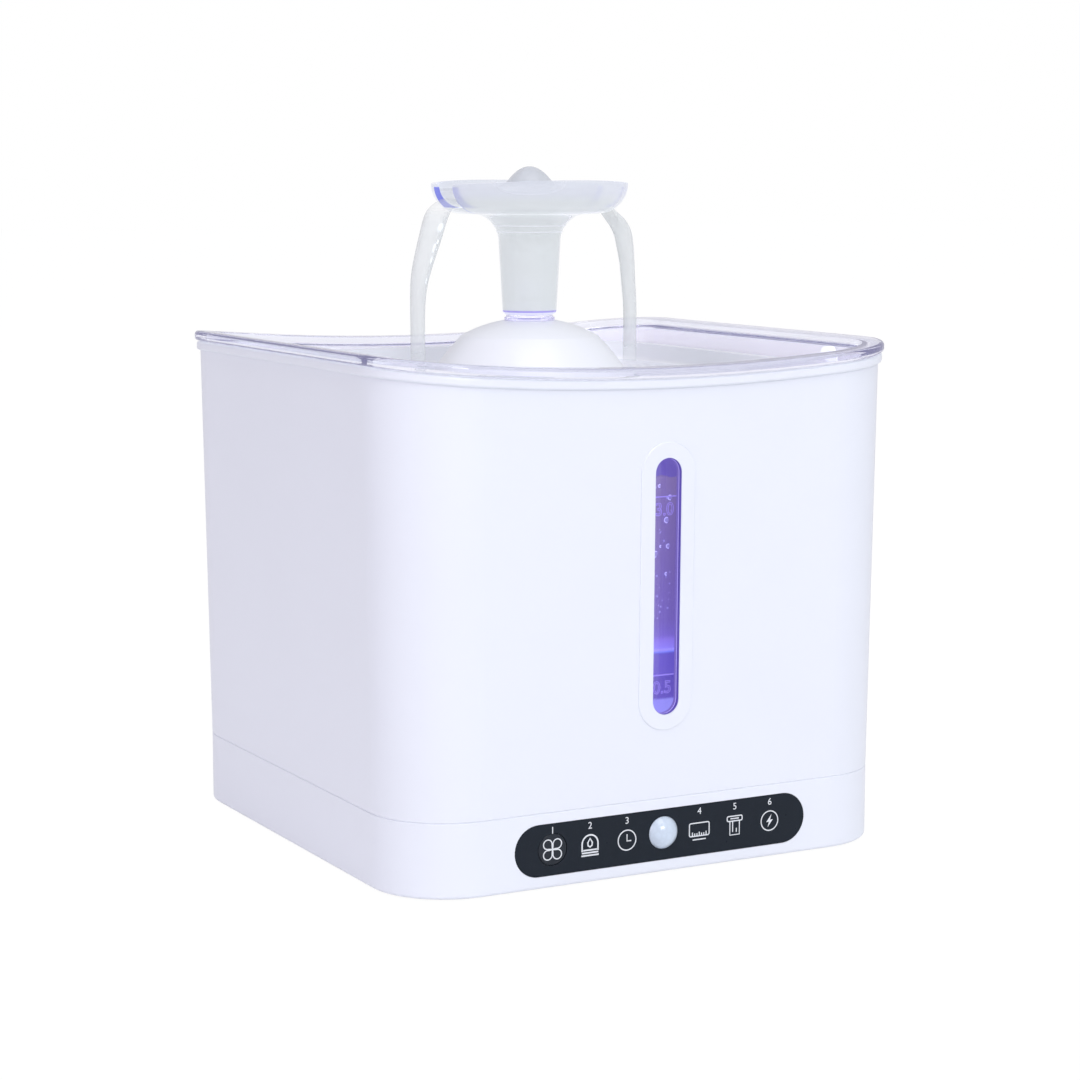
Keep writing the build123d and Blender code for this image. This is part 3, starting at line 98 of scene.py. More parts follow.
# ---------------------------------------------------------------------------- shader expressions
class Signal:
    """A number socket of a node tree that takes part in Python expressions."""

    def __init__(self, tree: bpy.types.NodeTree, socket: bpy.types.NodeSocket) -> None:
        """Wraps one output socket of a node tree."""
        self.tree = tree
        self.socket = socket

    def maths(self, operation: Maths, *terms: "Operand", clamp: bool = False) -> "Signal":
        """Adds one Math node.

        Args:
            operation: What the node does.
            terms: Its inputs, in order.
            clamp: Whether the result is held between 0 and 1.

        Returns:
            The node's result.
        """
        node = self.tree.nodes.new("ShaderNodeMath")
        node.operation = operation.value
        node.use_clamp = clamp
        for slot, term in zip(node.inputs, terms):
            if isinstance(term, Signal):
                self.tree.links.new(term.socket, slot)
            else:
                slot.default_value = term
        return Signal(self.tree, node.outputs[0])

    def __add__(self, other: "Operand") -> "Signal":
        """Sum."""
        return self.maths(Maths.ADD, self, other)

    __radd__ = __add__

    def __sub__(self, other: "Operand") -> "Signal":
        """Difference."""
        return self.maths(Maths.SUBTRACT, self, other)

    def __rsub__(self, other: "Operand") -> "Signal":
        """Difference from a number."""
        return self.maths(Maths.SUBTRACT, other, self)

    def __mul__(self, other: "Operand") -> "Signal":
        """Product."""
        return self.maths(Maths.MULTIPLY, self, other)

    __rmul__ = __mul__

    def __truediv__(self, other: "Operand") -> "Signal":
        """Quotient."""
        return self.maths(Maths.DIVIDE, self, other)

    def __pow__(self, other: "Operand") -> "Signal":
        """Power."""
        return self.maths(Maths.POWER, self, other)

    def __abs__(self) -> "Signal":
        """Size without sign."""
        return self.maths(Maths.ABSOLUTE, self)

    def at_least(self, floor: "Operand") -> "Signal":
        """The larger of the value and another."""
        return self.maths(Maths.MAXIMUM, self, floor)

    def sine(self) -> "Signal":
        """Sine of the value in radians."""
        return self.maths(Maths.SINE, self)

    def held(self) -> "Signal":
        """The value held between 0 and 1."""
        return self.maths(Maths.ADD, self, 0.0, clamp=True)

    def past(self, start: float, over: float) -> "Signal":
        """0 up to a start, then rising to 1 over a width."""
        return ((self - start) / over).held()

    def short_of(self, end: float, over: float) -> "Signal":
        """0 from an end on, and rising to 1 over a width before it."""
        return ((end - self) / over).held()

    def near(self, place: float, width: float, flat: float = 1.5) -> "Signal":
        """1 about a place, falling to 0 over a width once it is outside the flat part."""
        return (flat - abs(self - place) / width).held()

    def around(self, middle: float, spread: float) -> "Signal":
        """A field of 0 to 1 turned into a swing about a value."""
        return (self - 0.5) * spread + middle

    def excess(self, level: float, gain: float) -> "Signal":
        """What a field has above a level, times a gain."""
        return (self - level).held() * gain


Operand = Union[Signal, float]
Feed = Union[Signal, bpy.types.NodeSocket, float, Sequence[float]]


class Shader:
    """One material, or the world, under construction."""

    def __init__(self, name: str, world: bool = False) -> None:
        """Starts an empty material or world.

        Args:
            name: Its name.
            world: Whether it is a world.
        """
        self.made = bpy.data.worlds.new(name) if world else bpy.data.materials.new(name)
        self.made.use_nodes = True
        self.tree = self.made.node_tree
        self.tree.nodes.clear()
        self.output = self.node("OutputWorld" if world else "OutputMaterial")

    def feed(self, socket: bpy.types.NodeSocket, value: Feed) -> None:
        """Links a socket or sets its value.

        Args:
            socket: The input socket.
            value: A signal, an output socket, or a constant.
        """
        if isinstance(value, Signal):
            self.tree.links.new(value.socket, socket)
        elif isinstance(value, bpy.types.NodeSocket):
            self.tree.links.new(value, socket)
        elif hasattr(value, "__len__") and len(value) == 3 and len(socket.default_value) == 4:
            socket.default_value = (*value, 1.0)
        else:
            socket.default_value = value

    def node(
        self,
        kind: str,
        settings: Optional[dict[str, Any]] = None,
        inputs: Optional[dict[str, Feed]] = None,
    ) -> bpy.types.Node:
        """Adds a node.

        Args:
            kind: The node's type, without the ShaderNode prefix.
            settings: Its attributes, set first; "stops" gives a ramp's positions and colours.
            inputs: Values or links of its sockets, by name.

        Returns:
            The node.
        """
        node = self.tree.nodes.new("ShaderNode" + kind)
        for name, value in (settings or {}).items():
            if name == "stops":
                ramp = node.color_ramp
                while len(ramp.elements) < len(value):
                    ramp.elements.new(0.5)
                for element, (position, colour) in zip(ramp.elements, value):
                    element.position = position
                    element.color = (*colour, 1.0)
            else:
                setattr(node, name, value)
        for name, value in (inputs or {}).items():
            self.feed(node.inputs[name], value)
        return node

    def place(self) -> bpy.types.NodeSocket:
        """Object coordinates, in metres."""
        return self.node("TexCoord").outputs["Object"]

    def noise(self, size: float, detail: float = 2.0, roughness: float = 0.5) -> Signal:
        """Soft random field.

        Args:
            size: Size of its features in metres.
            detail: Number of octaves.
            roughness: Share of each finer octave.

        Returns:
            The field, about 0.5 on average.
        """
        node = self.node(
            "TexNoise",
            {"noise_dimensions": "3D"},
            {"Vector": self.place(), "Scale": 1.0 / size, "Detail": detail, "Roughness": roughness},
        )
        return Signal(self.tree, node.outputs["Fac"])

    def uneven(self, value: float, size: float, rise: float) -> Signal:
        """A value that a soft random field of a size raises by up to a rise."""
        return value + self.noise(size) * rise

    def cells(self, size: float, feature: Cells = Cells.MIDDLE) -> Signal:
        """Distance field of random cells.

        Args:
            size: Size of a cell in metres.
            feature: What the distance is measured to.

        Returns:
            The distance, in cells.
        """
        node = self.node(
            "TexVoronoi", {"feature": feature.value}, {"Vector": self.place(), "Scale": 1.0 / size}
        )
        return Signal(self.tree, node.outputs["Distance"])

    def facing(self, blend: float = 0.4) -> Signal:
        """Gloss of a surface that turns away: 0 face on, 1 at grazing angles, by a blend."""
        node = self.node("LayerWeight", inputs={"Blend": blend})
        return Signal(self.tree, node.outputs["Facing"])

    def streaks(self, size: float, stretch: float) -> Signal:
        """Random field drawn out along Z.

        Args:
            size: Width of its features in metres.
            stretch: How many times longer they are than wide.

        Returns:
            The field, about 0.5 on average.
        """
        squeezed = {"Vector": self.place(), "Scale": (1.0, 1.0, 1.0 / stretch)}
        mapping = self.node("Mapping", {"vector_type": "POINT"}, squeezed)
        node = self.node(
            "TexNoise", inputs={"Vector": mapping.outputs[0], "Scale": 1.0 / size, "Detail": 2.0}
        )
        return Signal(self.tree, node.outputs["Fac"])

    def axis(self, name: str) -> Signal:
        """The object coordinate X, Y or Z, in metres."""
        node = self.node("SeparateXYZ", inputs={"Vector": self.place()})
        return Signal(self.tree, node.outputs[name])

    def blend(self, share: Feed, first: Feed, second: Feed) -> bpy.types.NodeSocket:
        """Mixes two colours.

        Args:
            share: 0 for the first, 1 for the second.
            first: A colour.
            second: A colour.

        Returns:
            The mixed colour.
        """
        node = self.node("Mix", {"data_type": "RGBA"})
        for slot, value in ((0, share), (6, first), (7, second)):
            self.feed(node.inputs[slot], value)
        return node.outputs[2]

    def bump(self, height: Signal, depth: float) -> bpy.types.NodeSocket:
        """Surface normal of a height field that stands a depth in metres high where it is 1."""
        node = self.node("Bump", inputs={"Height": height, "Distance": depth, "Strength": 1.0})
        return node.outputs["Normal"]

    def surface(self, **inputs: Feed) -> bpy.types.Material:
        """Ends the material in one Principled shader.

        Args:
            inputs: Its sockets, with underscores for spaces.

        Returns:
            The material.
        """
        node = self.node(
            "BsdfPrincipled", inputs={name.replace("_", " "): value for name, value in inputs.items()}
        )
        self.feed(self.output.inputs["Surface"], node.outputs[0])
        return self.made

    def surface_between(self, share: Signal, first: bpy.types.Node, second: bpy.types.Node) -> None:
        """Ends the material or world in a mix of two shaders.

        Args:
            share: 0 for the first, 1 for the second.
            first: A shader.
            second: A shader.
        """
        mix = self.node("MixShader")
        for slot, value in enumerate((share, first.outputs[0], second.outputs[0])):
            self.feed(mix.inputs[slot], value)
        self.feed(self.output.inputs["Surface"], mix.outputs[0])

    def seen_as_white(self, through: float, mirrored: float) -> Signal:
        """How much of a surface's or the world's plain white a ray gets instead of its light.

        Args:
            through: Share for rays that come through clear pieces.
            mirrored: Share for rays off glossy pieces.

        Returns:
            1 for the camera's own rays, and the shares for the others.
        """
        rays = self.node("LightPath").outputs
        seen, bent, glossy = (
            Signal(self.tree, rays[f"Is {kind} Ray"]) for kind in ("Camera", "Transmission", "Glossy")
        )
        return (seen + bent * through + glossy * mirrored).held()


# ---------------------------------------------------------------------------- finishes
def shade(colour: Colour, factor: float, lift: float = 0.0) -> Colour:
    """A colour made darker or paler, each channel at most 1."""
    return tuple(min(channel * factor + lift, 1.0) for channel in colour)


@dataclass(frozen=True)
class Finish:
    """A finish of the fountain, which makes one material."""

    name: str

    def material(self) -> bpy.types.Material:
        """The finish as a material; each kind of finish has its own."""
        raise NotImplementedError


@dataclass(frozen=True)
class MouldedPlastic(Finish):
    """Injection-moulded plastic with a fine spark-eroded grain and slight unevenness.

    Above a height, part of it may glow with painted light: inside a rounded square, or beyond a place
    along X.
    """

    colour: Colour
    roughness: float = 0.35
    roughness_spread: float = 0.12
    grain: float = 0.9 * MM
    grain_depth: float = 0.012 * MM
    waves: float = 45 * MM
    waviness: float = 0.02 * MM
    unevenness: float = 0.02
    coat: float = 0.0
    coat_roughness: float = 0.12
    # painted light: the lit_ fields set where a glow stands in for lamp light, and its colour
    lit_above: float = 0.0
    lit_over: float = 0.5 * MM
    lit_side: float = 0.0
    lit_radius: float = 0.0
    lit_reach: float = 0.6 * MM
    lit_edge: float = 0.3 * MM
    lit_beyond: float = 0.0
    lit_beyond_over: float = 0.5 * MM
    lit_colour: Colour = (0.42, 0.39, 0.32)

    def spilt_light(self, shader: Shader) -> dict[str, Feed]:
        """The painted light of the lit part, a glow in place of lamp light.

        Args:
            shader: The material under construction.

        Returns:
            Its emission sockets, or nothing where no part is lit.
        """
        if not self.lit_above:
            return {}
        lit = shader.axis("Z").past(self.lit_above, self.lit_over)
        if self.lit_side:
            core = self.lit_side - self.lit_radius
            x, y = (abs(shader.axis(name)).at_least(core) - core for name in "XY")
            away = (x * x + y * y) ** 0.5
            lit = lit * away.short_of(self.lit_radius + self.lit_reach, self.lit_edge)
        if self.lit_beyond:
            lit = lit * shader.axis("X").past(self.lit_beyond, self.lit_beyond_over)
        return {"Emission_Color": shader.blend(lit, BLACK, self.lit_colour), "Emission_Strength": 1.0}

    def material(self) -> bpy.types.Material:
        """Makes the finish.

        Returns:
            The material.
        """
        shader = Shader(self.name)
        fine = shader.noise(self.grain, 3.0, 0.6)
        broad = shader.noise(self.waves, 1.0)
        return shader.surface(
            Base_Color=shader.blend(broad, shade(self.colour, 1.0 - self.unevenness), self.colour),
            Roughness=fine.around(self.roughness, self.roughness_spread),
            Normal=shader.bump(fine * self.grain_depth + broad * self.waviness, 1.0),
            Coat_Weight=self.coat,
            Coat_Roughness=self.coat_roughness,
            **self.spilt_light(shader),
        )


@dataclass(frozen=True)
class ClearPlastic(Finish):
    """Polished clear plastic with faint flow lines; lamp light passes it, and it carries a painted violet
    glow.
    """

    tint: Colour
    # painted light: a faint violet glow in place of the lamp light that the plastic pipes
    glow: Colour = (0.34, 0.32, 0.80)
    glow_strength: float = 0.05
    cover: float = 0.97
    shadow_cover: float = 0.5
    roughness: float = 0.004
    smudge: float = 20 * MM
    smudge_level: float = 0.4
    smudge_roughness: float = 0.02
    index: float = 1.49
    flow: float = 12 * MM
    flow_depth: float = 0.0005 * MM

    def material(self) -> bpy.types.Material:
        """Makes the finish.

        Returns:
            The material.
        """
        shader = Shader(self.name)
        flow = shader.noise(self.flow, 1.0)
        smudges = shader.noise(self.smudge, 3.0, 0.6).excess(self.smudge_level, self.smudge_roughness)
        cast = Signal(shader.tree, shader.node("LightPath").outputs["Is Shadow Ray"])
        return shader.surface(
            Base_Color=self.tint,
            Roughness=self.roughness + smudges,
            Normal=shader.bump(flow, self.flow_depth),
            IOR=self.index,
            Transmission_Weight=1.0,
            Alpha=self.cover - cast * (self.cover - self.shadow_cover),
            Emission_Color=self.glow,
            Emission_Strength=self.glow_strength,
        )


@dataclass(frozen=True)
class MilkyPlastic(Finish):
    """Clear plastic that looks milky with water in and behind it; its glow and violet tints are painted
    light.
    """

    colour: Colour
    cut_half: float
    cut_from: float
    foot: float
    cut_edge: float = 0.15 * MM
    cut_over: float = 1.0 * MM
    cut_cover: float = 0.95
    line_at: float = 1.3 * MM
    line_edge: float = 0.3 * MM
    low_to: float = 1.4 * MM
    low_over: float = 0.8 * MM
    # painted light: violet on the cut faces, a violet line near the stem's foot and lilac at the foot
    cut_colour: Colour = (0.16, 0.18, 0.62)
    line_colour: Colour = (0.24, 0.21, 0.52)
    foot_colour: Colour = (0.58, 0.56, 0.80)
    cover: float = 0.52
    low_cover: float = 0.88
    cover_from: float = 30 * MM
    cover_over: float = 8.0 * MM
    transmission: float = 0.12
    index: float = WATER_INDEX
    cloud: float = 20 * MM
    cloud_depth: float = 0.01 * MM
    cloud_dim: float = 0.97
    cloud_level: float = 0.4
    cloud_roughness: float = 0.06
    roughness: float = 0.10
    coat: float = 0.5
    coat_roughness: float = 0.05
    # painted light: scatter is a glow that evens out the head's shading and turns bluer above high
    scatter: Colour = (0.375, 0.39, 0.40)
    high_scatter: Colour = (0.37, 0.38, 0.445)
    high: float = 40 * MM
    high_over: float = 3.0 * MM
    cut_glow: Colour = (0.03, 0.035, 0.14)
    line_glow: Colour = (0.17, 0.15, 0.36)

    def material(self) -> bpy.types.Material:
        """Makes the finish.

        Returns:
            The material.
        """
        shader = Shader(self.name)
        cloud = shader.noise(self.cloud)
        x, y, z = (abs(shader.axis("X")), abs(shader.axis("Y")), shader.axis("Z"))
        # where painted violet light stands (cut, line, low) and where the painted glow turns bluer
        # (upper)
        cut = y.near(self.cut_half, self.cut_edge) * x.past(self.cut_from, self.cut_over)
        line = z.near(self.foot + self.line_at, self.line_edge, flat=1.6)
        low = z.short_of(self.foot + self.low_to, self.low_over)
        thick = z.short_of(self.foot + self.cover_from, self.cover_over)
        upper = z.past(self.foot + self.high, self.high_over)
        cover = self.cover + thick * (self.low_cover - self.cover)
        cover = cover + cut * (self.cut_cover - cover)
        scatter = shader.blend(upper, self.scatter, self.high_scatter)
        scatter = shader.blend(line, scatter, self.line_glow)
        body = shader.blend(cloud, shade(self.colour, self.cloud_dim), self.colour)
        body = shader.blend(low, body, self.foot_colour)
        body = shader.blend(line, body, self.line_colour)
        return shader.surface(
            Base_Color=shader.blend(cut, body, self.cut_colour),
            Roughness=self.roughness + cloud.excess(self.cloud_level, self.cloud_roughness),
            Normal=shader.bump(cloud, self.cloud_depth),
            IOR=self.index,
            Transmission_Weight=self.transmission,
            Alpha=cover + shader.facing() * (1.0 - cover),
            Coat_Weight=self.coat,
            Coat_Roughness=self.coat_roughness,
            Emission_Color=shader.blend(cut, scatter, self.cut_glow),
            Emission_Strength=1.0,
        )


@dataclass(frozen=True)
class SmoothFilm(Finish):
    """Dark printed film over the control strip, slightly orange-peeled."""

    colour: Colour
    roughness: float = 0.30
    gloss: float = 0.14
    peel: float = 1.6 * MM
    peel_depth: float = 0.006 * MM
    peel_roughness: float = 0.1
    dust: float = 0.7 * MM
    dust_level: float = 0.55
    dust_cover: float = 1.5

    def material(self) -> bpy.types.Material:
        """Makes the finish.

        Returns:
            The material.
        """
        shader = Shader(self.name)
        peel = shader.noise(self.peel)
        dusty = shader.noise(self.dust, 1.0).excess(self.dust_level, self.dust_cover)
        return shader.surface(
            Base_Color=shader.blend(dusty, self.colour, shade(self.colour, 1.25, 0.002)),
            Roughness=peel.around(self.roughness, self.peel_roughness),
            Normal=shader.bump(peel, self.peel_depth),
            Specular_IOR_Level=self.gloss,
        )


@dataclass(frozen=True)
class MilkyLens(Finish):
    """Milky moulded polyethylene lens with faint facets inside."""

    colour: Colour = (0.62, 0.71, 0.82)
    facet: float = 2.4 * MM
    facet_width: float = 0.25
    facet_depth: float = 0.01 * MM
    scatter: float = 4 * MM
    scatter_share: float = 0.35
    roughness: float = 0.18
    roughness_rise: float = 0.06
    coat: float = 0.6
    coat_roughness: float = 0.06

    def material(self) -> bpy.types.Material:
        """Makes the finish.

        Returns:
            The material.
        """
        shader = Shader(self.name)
        facets = (shader.cells(self.facet, Cells.EDGE) * (1.0 / self.facet_width)).held()
        return shader.surface(
            Base_Color=shader.blend(facets, shade(self.colour, 0.95), self.colour),
            Roughness=shader.uneven(self.roughness, 2 * MM, self.roughness_rise),
            Subsurface_Weight=self.scatter_share,
            Subsurface_Radius=(self.scatter,) * 3,
            Coat_Weight=self.coat,
            Coat_Roughness=self.coat_roughness,
            Normal=shader.bump(facets, self.facet_depth),
        )


@dataclass(frozen=True)
class Rubber(Finish):
    """Matt moulded rubber."""

    colour: Colour
    roughness: float = 0.75
    roughness_spread: float = 0.15
    grain: float = 0.5 * MM
    grain_depth: float = 0.03 * MM
    bloom: float = 6 * MM

    def material(self) -> bpy.types.Material:
        """Makes the finish.

        Returns:
            The material.
        """
        shader = Shader(self.name)
        grain = shader.noise(self.grain, 3.0, 0.7)
        bloom = shader.noise(self.bloom)
        return shader.surface(
            Base_Color=shader.blend(bloom, self.colour, shade(self.colour, 1.25, 0.01)),
            Roughness=grain.around(self.roughness, self.roughness_spread),
            Normal=shader.bump(grain, self.grain_depth),
        )


@dataclass(frozen=True)
class Ringed(Finish):
    """Metal with rings around Z: machining marks, or close turns of wire."""

    colour: Colour
    pitch: float = 0.4 * MM
    ring_depth: float = 0.004 * MM

    def rings(self, shader: Shader) -> Signal:
        """The rings as a field of 0 to 1."""
        return (shader.axis("Z") * (2.0 * math.pi / self.pitch)).sine() * 0.5 + 0.5


@dataclass(frozen=True)
class TurnedMetal(Ringed):
    """Bare metal with fine machining rings."""

    roughness: float = 0.3
    stain: float = 4 * MM
    stain_roughness: float = 0.2

    def material(self) -> bpy.types.Material:
        """Makes the finish.

        Returns:
            The material.
        """
        shader = Shader(self.name)
        rings = self.rings(shader)
        stain = shader.noise(self.stain, 3.0)
        return shader.surface(
            Base_Color=shader.blend(stain, shade(self.colour, 0.8), self.colour),
            Metallic=1.0,
            Roughness=stain.around(self.roughness, self.stain_roughness),
            Normal=shader.bump(rings, self.ring_depth),
        )


@dataclass(frozen=True)
class PrintedBoard(Finish):
    """Circuit board under solder mask, with copper tracks that show through."""

    mask: Colour = (0.015, 0.11, 0.05)
    track: Colour = (0.04, 0.22, 0.10)
    field_size: float = 4.2 * MM
    track_sharpness: float = 9.0
    track_depth: float = 0.03 * MM
    roughness: float = 0.35

    def material(self) -> bpy.types.Material:
        """Makes the finish.

        Returns:
            The material.
        """
        shader = Shader(self.name)
        copper = (1.0 - shader.cells(self.field_size, Cells.EDGE) * self.track_sharpness).held()
        return shader.surface(
            Base_Color=shader.blend(copper, self.mask, self.track),
            Roughness=shader.uneven(self.roughness, 2 * MM, 0.1),
            Normal=shader.bump(copper, self.track_depth),
        )


@dataclass(frozen=True)
class WoundWire(Ringed):
    """Enamelled copper wire, wound in close turns."""

    def material(self) -> bpy.types.Material:
        """Makes the finish.

        Returns:
            The material.
        """
        shader = Shader(self.name)
        turns = self.rings(shader)
        return shader.surface(
            Base_Color=shader.blend(turns, shade(self.colour, 0.35), self.colour),
            Metallic=0.85,
            Roughness=0.32,
            Normal=shader.bump(turns, self.ring_depth),
        )


@dataclass(frozen=True)
class Porous(Finish):
    """Foam, fleece or granules: a rough field of cells."""

    colour: Colour
    hollow: Colour
    cell: float
    depth: float
    fuzz: float = 0.25

    def material(self) -> bpy.types.Material:
        """Makes the finish.

        Returns:
            The material.
        """
        shader = Shader(self.name)
        cells = (shader.cells(self.cell) * 1.4).held()
        height = cells * (1.0 - self.fuzz) + shader.noise(self.cell * 0.35, 4.0, 0.7) * self.fuzz
        return shader.surface(
            Base_Color=shader.blend(height, self.colour, self.hollow),
            Roughness=0.95,
            Normal=shader.bump(1.0 - height, self.depth),
        )


@dataclass(frozen=True)
class WaterFinish(Finish):
    """Moving water, pale with fine air, drawn out along its fall; thinner above a height."""

    colour: Colour
    cover: float = 0.32
    edge: float = 0.35
    thin: float = 0.0
    thin_above: float = 0.0
    thin_over: float = 4 * MM
    ripple: float = 3 * MM
    stretch: float = 1.0
    ripple_depth: float = 0.08 * MM
    ripple_roughness: float = 0.04
    roughness: float = 0.08
    coat: float = 0.5
    specular: float = 0.5
    fade_below: float = 0.0
    fade_over: float = 12 * MM
    foot_cover: float = 0.4

    def material(self) -> bpy.types.Material:
        """Makes the finish.

        Returns:
            The material.
        """
        shader = Shader(self.name)
        wave = shader.streaks(self.ripple, self.stretch)
        rim = shader.facing() * self.edge
        cover = rim + self.cover
        if self.thin:
            share = shader.axis("Z").past(self.thin_above, self.thin_over)
            cover = rim * (1.0 - share) + (self.cover - share * self.thin)
        if self.fade_below:
            whole = shader.axis("Z").past(self.fade_below - self.fade_over, self.fade_over)
            cover = cover * (self.foot_cover + whole * (1.0 - self.foot_cover))
        return shader.surface(
            Base_Color=self.colour,
            Roughness=self.roughness + wave * self.ripple_roughness,
            IOR=WATER_INDEX,
            Alpha=cover.held(),
            Specular_IOR_Level=self.specular,
            Coat_Weight=self.coat,
            Coat_Roughness=0.04,
            Normal=shader.bump(wave, self.ripple_depth),
        )


@dataclass(frozen=True)
class LitWater(Finish):
    """Still water lit from below by violet lamps, painted as a glow in bands between its floor and its
    surface.
    """

    low: float
    high: float
    bands: tuple[tuple[float, Colour], ...]
    colour: Colour = (0.08, 0.06, 0.18)
    drift: float = 20 * MM
    drift_share: float = 0.012

    def material(self) -> bpy.types.Material:
        """Makes the finish.

        Returns:
            The material.
        """
        shader = Shader(self.name)
        drift = (shader.noise(self.drift) - 0.5) * self.drift_share
        share = (shader.axis("Z") - self.low) / (self.high - self.low) + drift
        ramp = shader.node("ValToRGB", {"stops": self.bands}, {"Fac": share.held()})
        return shader.surface(
            Base_Color=self.colour,
            Roughness=shader.uneven(0.12, 8 * MM, 0.1),
            IOR=WATER_INDEX,
            Emission_Color=ramp.outputs["Color"],
            Emission_Strength=1.0,
        )


@dataclass(frozen=True)
class LitPlastic(Finish):
    """Painted light: a soft surface that glows in place of lamp light."""

    glow: Colour
    colour: Colour = (0.14, 0.11, 0.40)
    drift: float = 15 * MM
    drift_dim: float = 0.8

    def material(self) -> bpy.types.Material:
        """Makes the finish.

        Returns:
            The material.
        """
        shader = Shader(self.name)
        return shader.surface(
            Base_Color=self.colour,
            Roughness=shader.uneven(0.3, 2 * MM, 0.1),
            Emission_Color=shader.blend(
                shader.noise(self.drift), shade(self.glow, self.drift_dim), self.glow
            ),
            Emission_Strength=1.0,
        )


@dataclass(frozen=True)
class Ink(Finish):
    """White screen print with slightly uneven cover."""

    colour: Colour
    speck: float = 0.3 * MM
    speck_dim: float = 0.86
    speck_depth: float = 0.005 * MM
    roughness: float = 0.45

    def material(self) -> bpy.types.Material:
        """Makes the finish.

        Returns:
            The material.
        """
        shader = Shader(self.name)
        cover = shader.noise(self.speck)
        return shader.surface(
            Base_Color=shader.blend(cover, shade(self.colour, self.speck_dim), self.colour),
            Roughness=self.roughness,
            Normal=shader.bump(cover, self.speck_depth),
        )


@dataclass
class Palette:
    """Every finish of the fountain, made into a material once."""

    shell: Finish = MouldedPlastic("shell_white", (0.80, 0.83, 0.90), roughness=0.36, coat=0.15)
    # painted light: the tray's white is paler than the shell's, making up for the shade inside the tank
    tray: Finish = MouldedPlastic("tray_white", (0.86, 0.88, 0.92), roughness=0.30, coat=0.1)
    inner_white: Finish = MouldedPlastic("inner_white", (0.74, 0.75, 0.78), roughness=0.5)
    grey: Finish = MouldedPlastic("pump_grey", (0.30, 0.31, 0.34), roughness=0.45)
    black: Finish = MouldedPlastic("moulded_black", (0.02, 0.02, 0.022), roughness=0.4)
    cell: Finish = MouldedPlastic("cell_sleeve", (0.05, 0.16, 0.34), roughness=0.3, coat=0.5)
    lamp: Finish = MouldedPlastic("lamp_body", (0.80, 0.76, 0.52), roughness=0.3)
    film: Finish = SmoothFilm("strip_film", (0.012, 0.017, 0.025))
    cap: Finish = SmoothFilm("button_film", (0.012, 0.017, 0.025), roughness=0.24, gloss=0.3)
    lens: Finish = MilkyLens("sensor_milk")
    clear: Finish = ClearPlastic("tank_clear", (0.87, 0.875, 0.915))
    head: Finish = MilkyPlastic(
        "head_milky", (0.36, 0.38, 0.39), cut_half=7.3 * MM, cut_from=20 * MM, foot=182.8 * MM
    )
    # painted highlight: the weld seam beads on the haunch glow pale
    seam: Finish = LitPlastic("weld_seam", (0.45, 0.46, 0.48), (0.5, 0.52, 0.55))
    # painted light: the collar glows lilac more strongly than the tank
    collar: Finish = ClearPlastic(
        "collar_clear", (0.88, 0.88, 0.95), glow=(0.50, 0.48, 0.74), glow_strength=0.16
    )
    rubber: Finish = Rubber("soft_rubber", (0.42, 0.42, 0.44))
    steel: Finish = TurnedMetal("bright_steel", (0.62, 0.62, 0.63))
    ferrite: Finish = TurnedMetal("ferrite", (0.06, 0.06, 0.065), roughness=0.55)
    board: Finish = PrintedBoard("solder_mask")
    copper: Finish = WoundWire(
        "enamelled_copper", (0.55, 0.22, 0.09), pitch=0.5 * MM, ring_depth=0.1 * MM
    )
    sponge: Finish = Porous(
        "sponge_foam", (0.05, 0.05, 0.055), (0.004, 0.004, 0.004), cell=1.6 * MM, depth=0.8 * MM
    )
    fleece: Finish = Porous(
        "filter_fleece", (0.80, 0.80, 0.78), (0.55, 0.55, 0.54), cell=0.9 * MM, depth=0.3 * MM
    )
    carbon: Finish = Porous(
        "carbon_grains", (0.06, 0.06, 0.06), (0.003, 0.003, 0.003), cell=2.2 * MM, depth=1.2 * MM
    )
    ink: Finish = Ink("strip_ink", (0.80, 0.83, 0.86))
    water: Finish = WaterFinish(
        "tray_water", (0.84, 0.85, 0.97), cover=0.1, edge=0.25, ripple=6 * MM, ripple_depth=0.3 * MM
    )
    pool: Finish = WaterFinish(
        "bowl_pool", (0.60, 0.63, 0.68), cover=0.05, edge=0.1, thin=-0.6, thin_above=227.4 * MM,
        thin_over=1.5 * MM, ripple=8 * MM, roughness=0.2,
    )
    stream: Finish = WaterFinish(
        "falling_water", (0.78, 0.81, 0.81), cover=0.46, edge=0.1, thin=0.24, thin_above=217 * MM,
        stretch=6.0, ripple_depth=0.0, roughness=0.25, coat=0.0, specular=0.08, fade_below=178 * MM,
    )
    # painted highlights: pale glowing beads on the left stream in place of glints
    air: Finish = LitPlastic("stream_air", (0.62, 0.65, 0.67), (0.88, 0.92, 0.94))
    # painted light: violet on the slot's sides, with a painted highlight line between front and back
    reveal: Finish = LitPlastic("reveal_violet", (0.07, 0.045, 0.30), (0.05, 0.04, 0.18))
    reveal_gleam: Finish = LitPlastic("reveal_gleam", (0.60, 0.52, 1.0), (0.3, 0.25, 0.6))
    reveal_inner: Finish = LitPlastic("reveal_inner", (0.14, 0.10, 0.40), (0.10, 0.08, 0.24))
    # painted light: the bubbles glow violet
    small_bubble: Finish = LitPlastic("small_bubble", (0.20, 0.16, 0.46), (0.2, 0.18, 0.4))
    # painted highlights: bright arcs on the large bubbles
    bubble_glint: Finish = LitPlastic("bubble_glint", (0.50, 0.46, 0.95), (0.5, 0.45, 0.8))
    # painted light: a violet glowing sheet on the tank wall above the water
    wet_film: Finish = LitPlastic("wet_film", (0.11, 0.065, 0.41), (0.05, 0.04, 0.16))
    # painted light: the moulded level lines and numbers glow lilac
    relief: Finish = LitPlastic("level_relief", (0.27, 0.21, 0.64))
    made: dict[str, bpy.types.Material] = field(default_factory=dict)

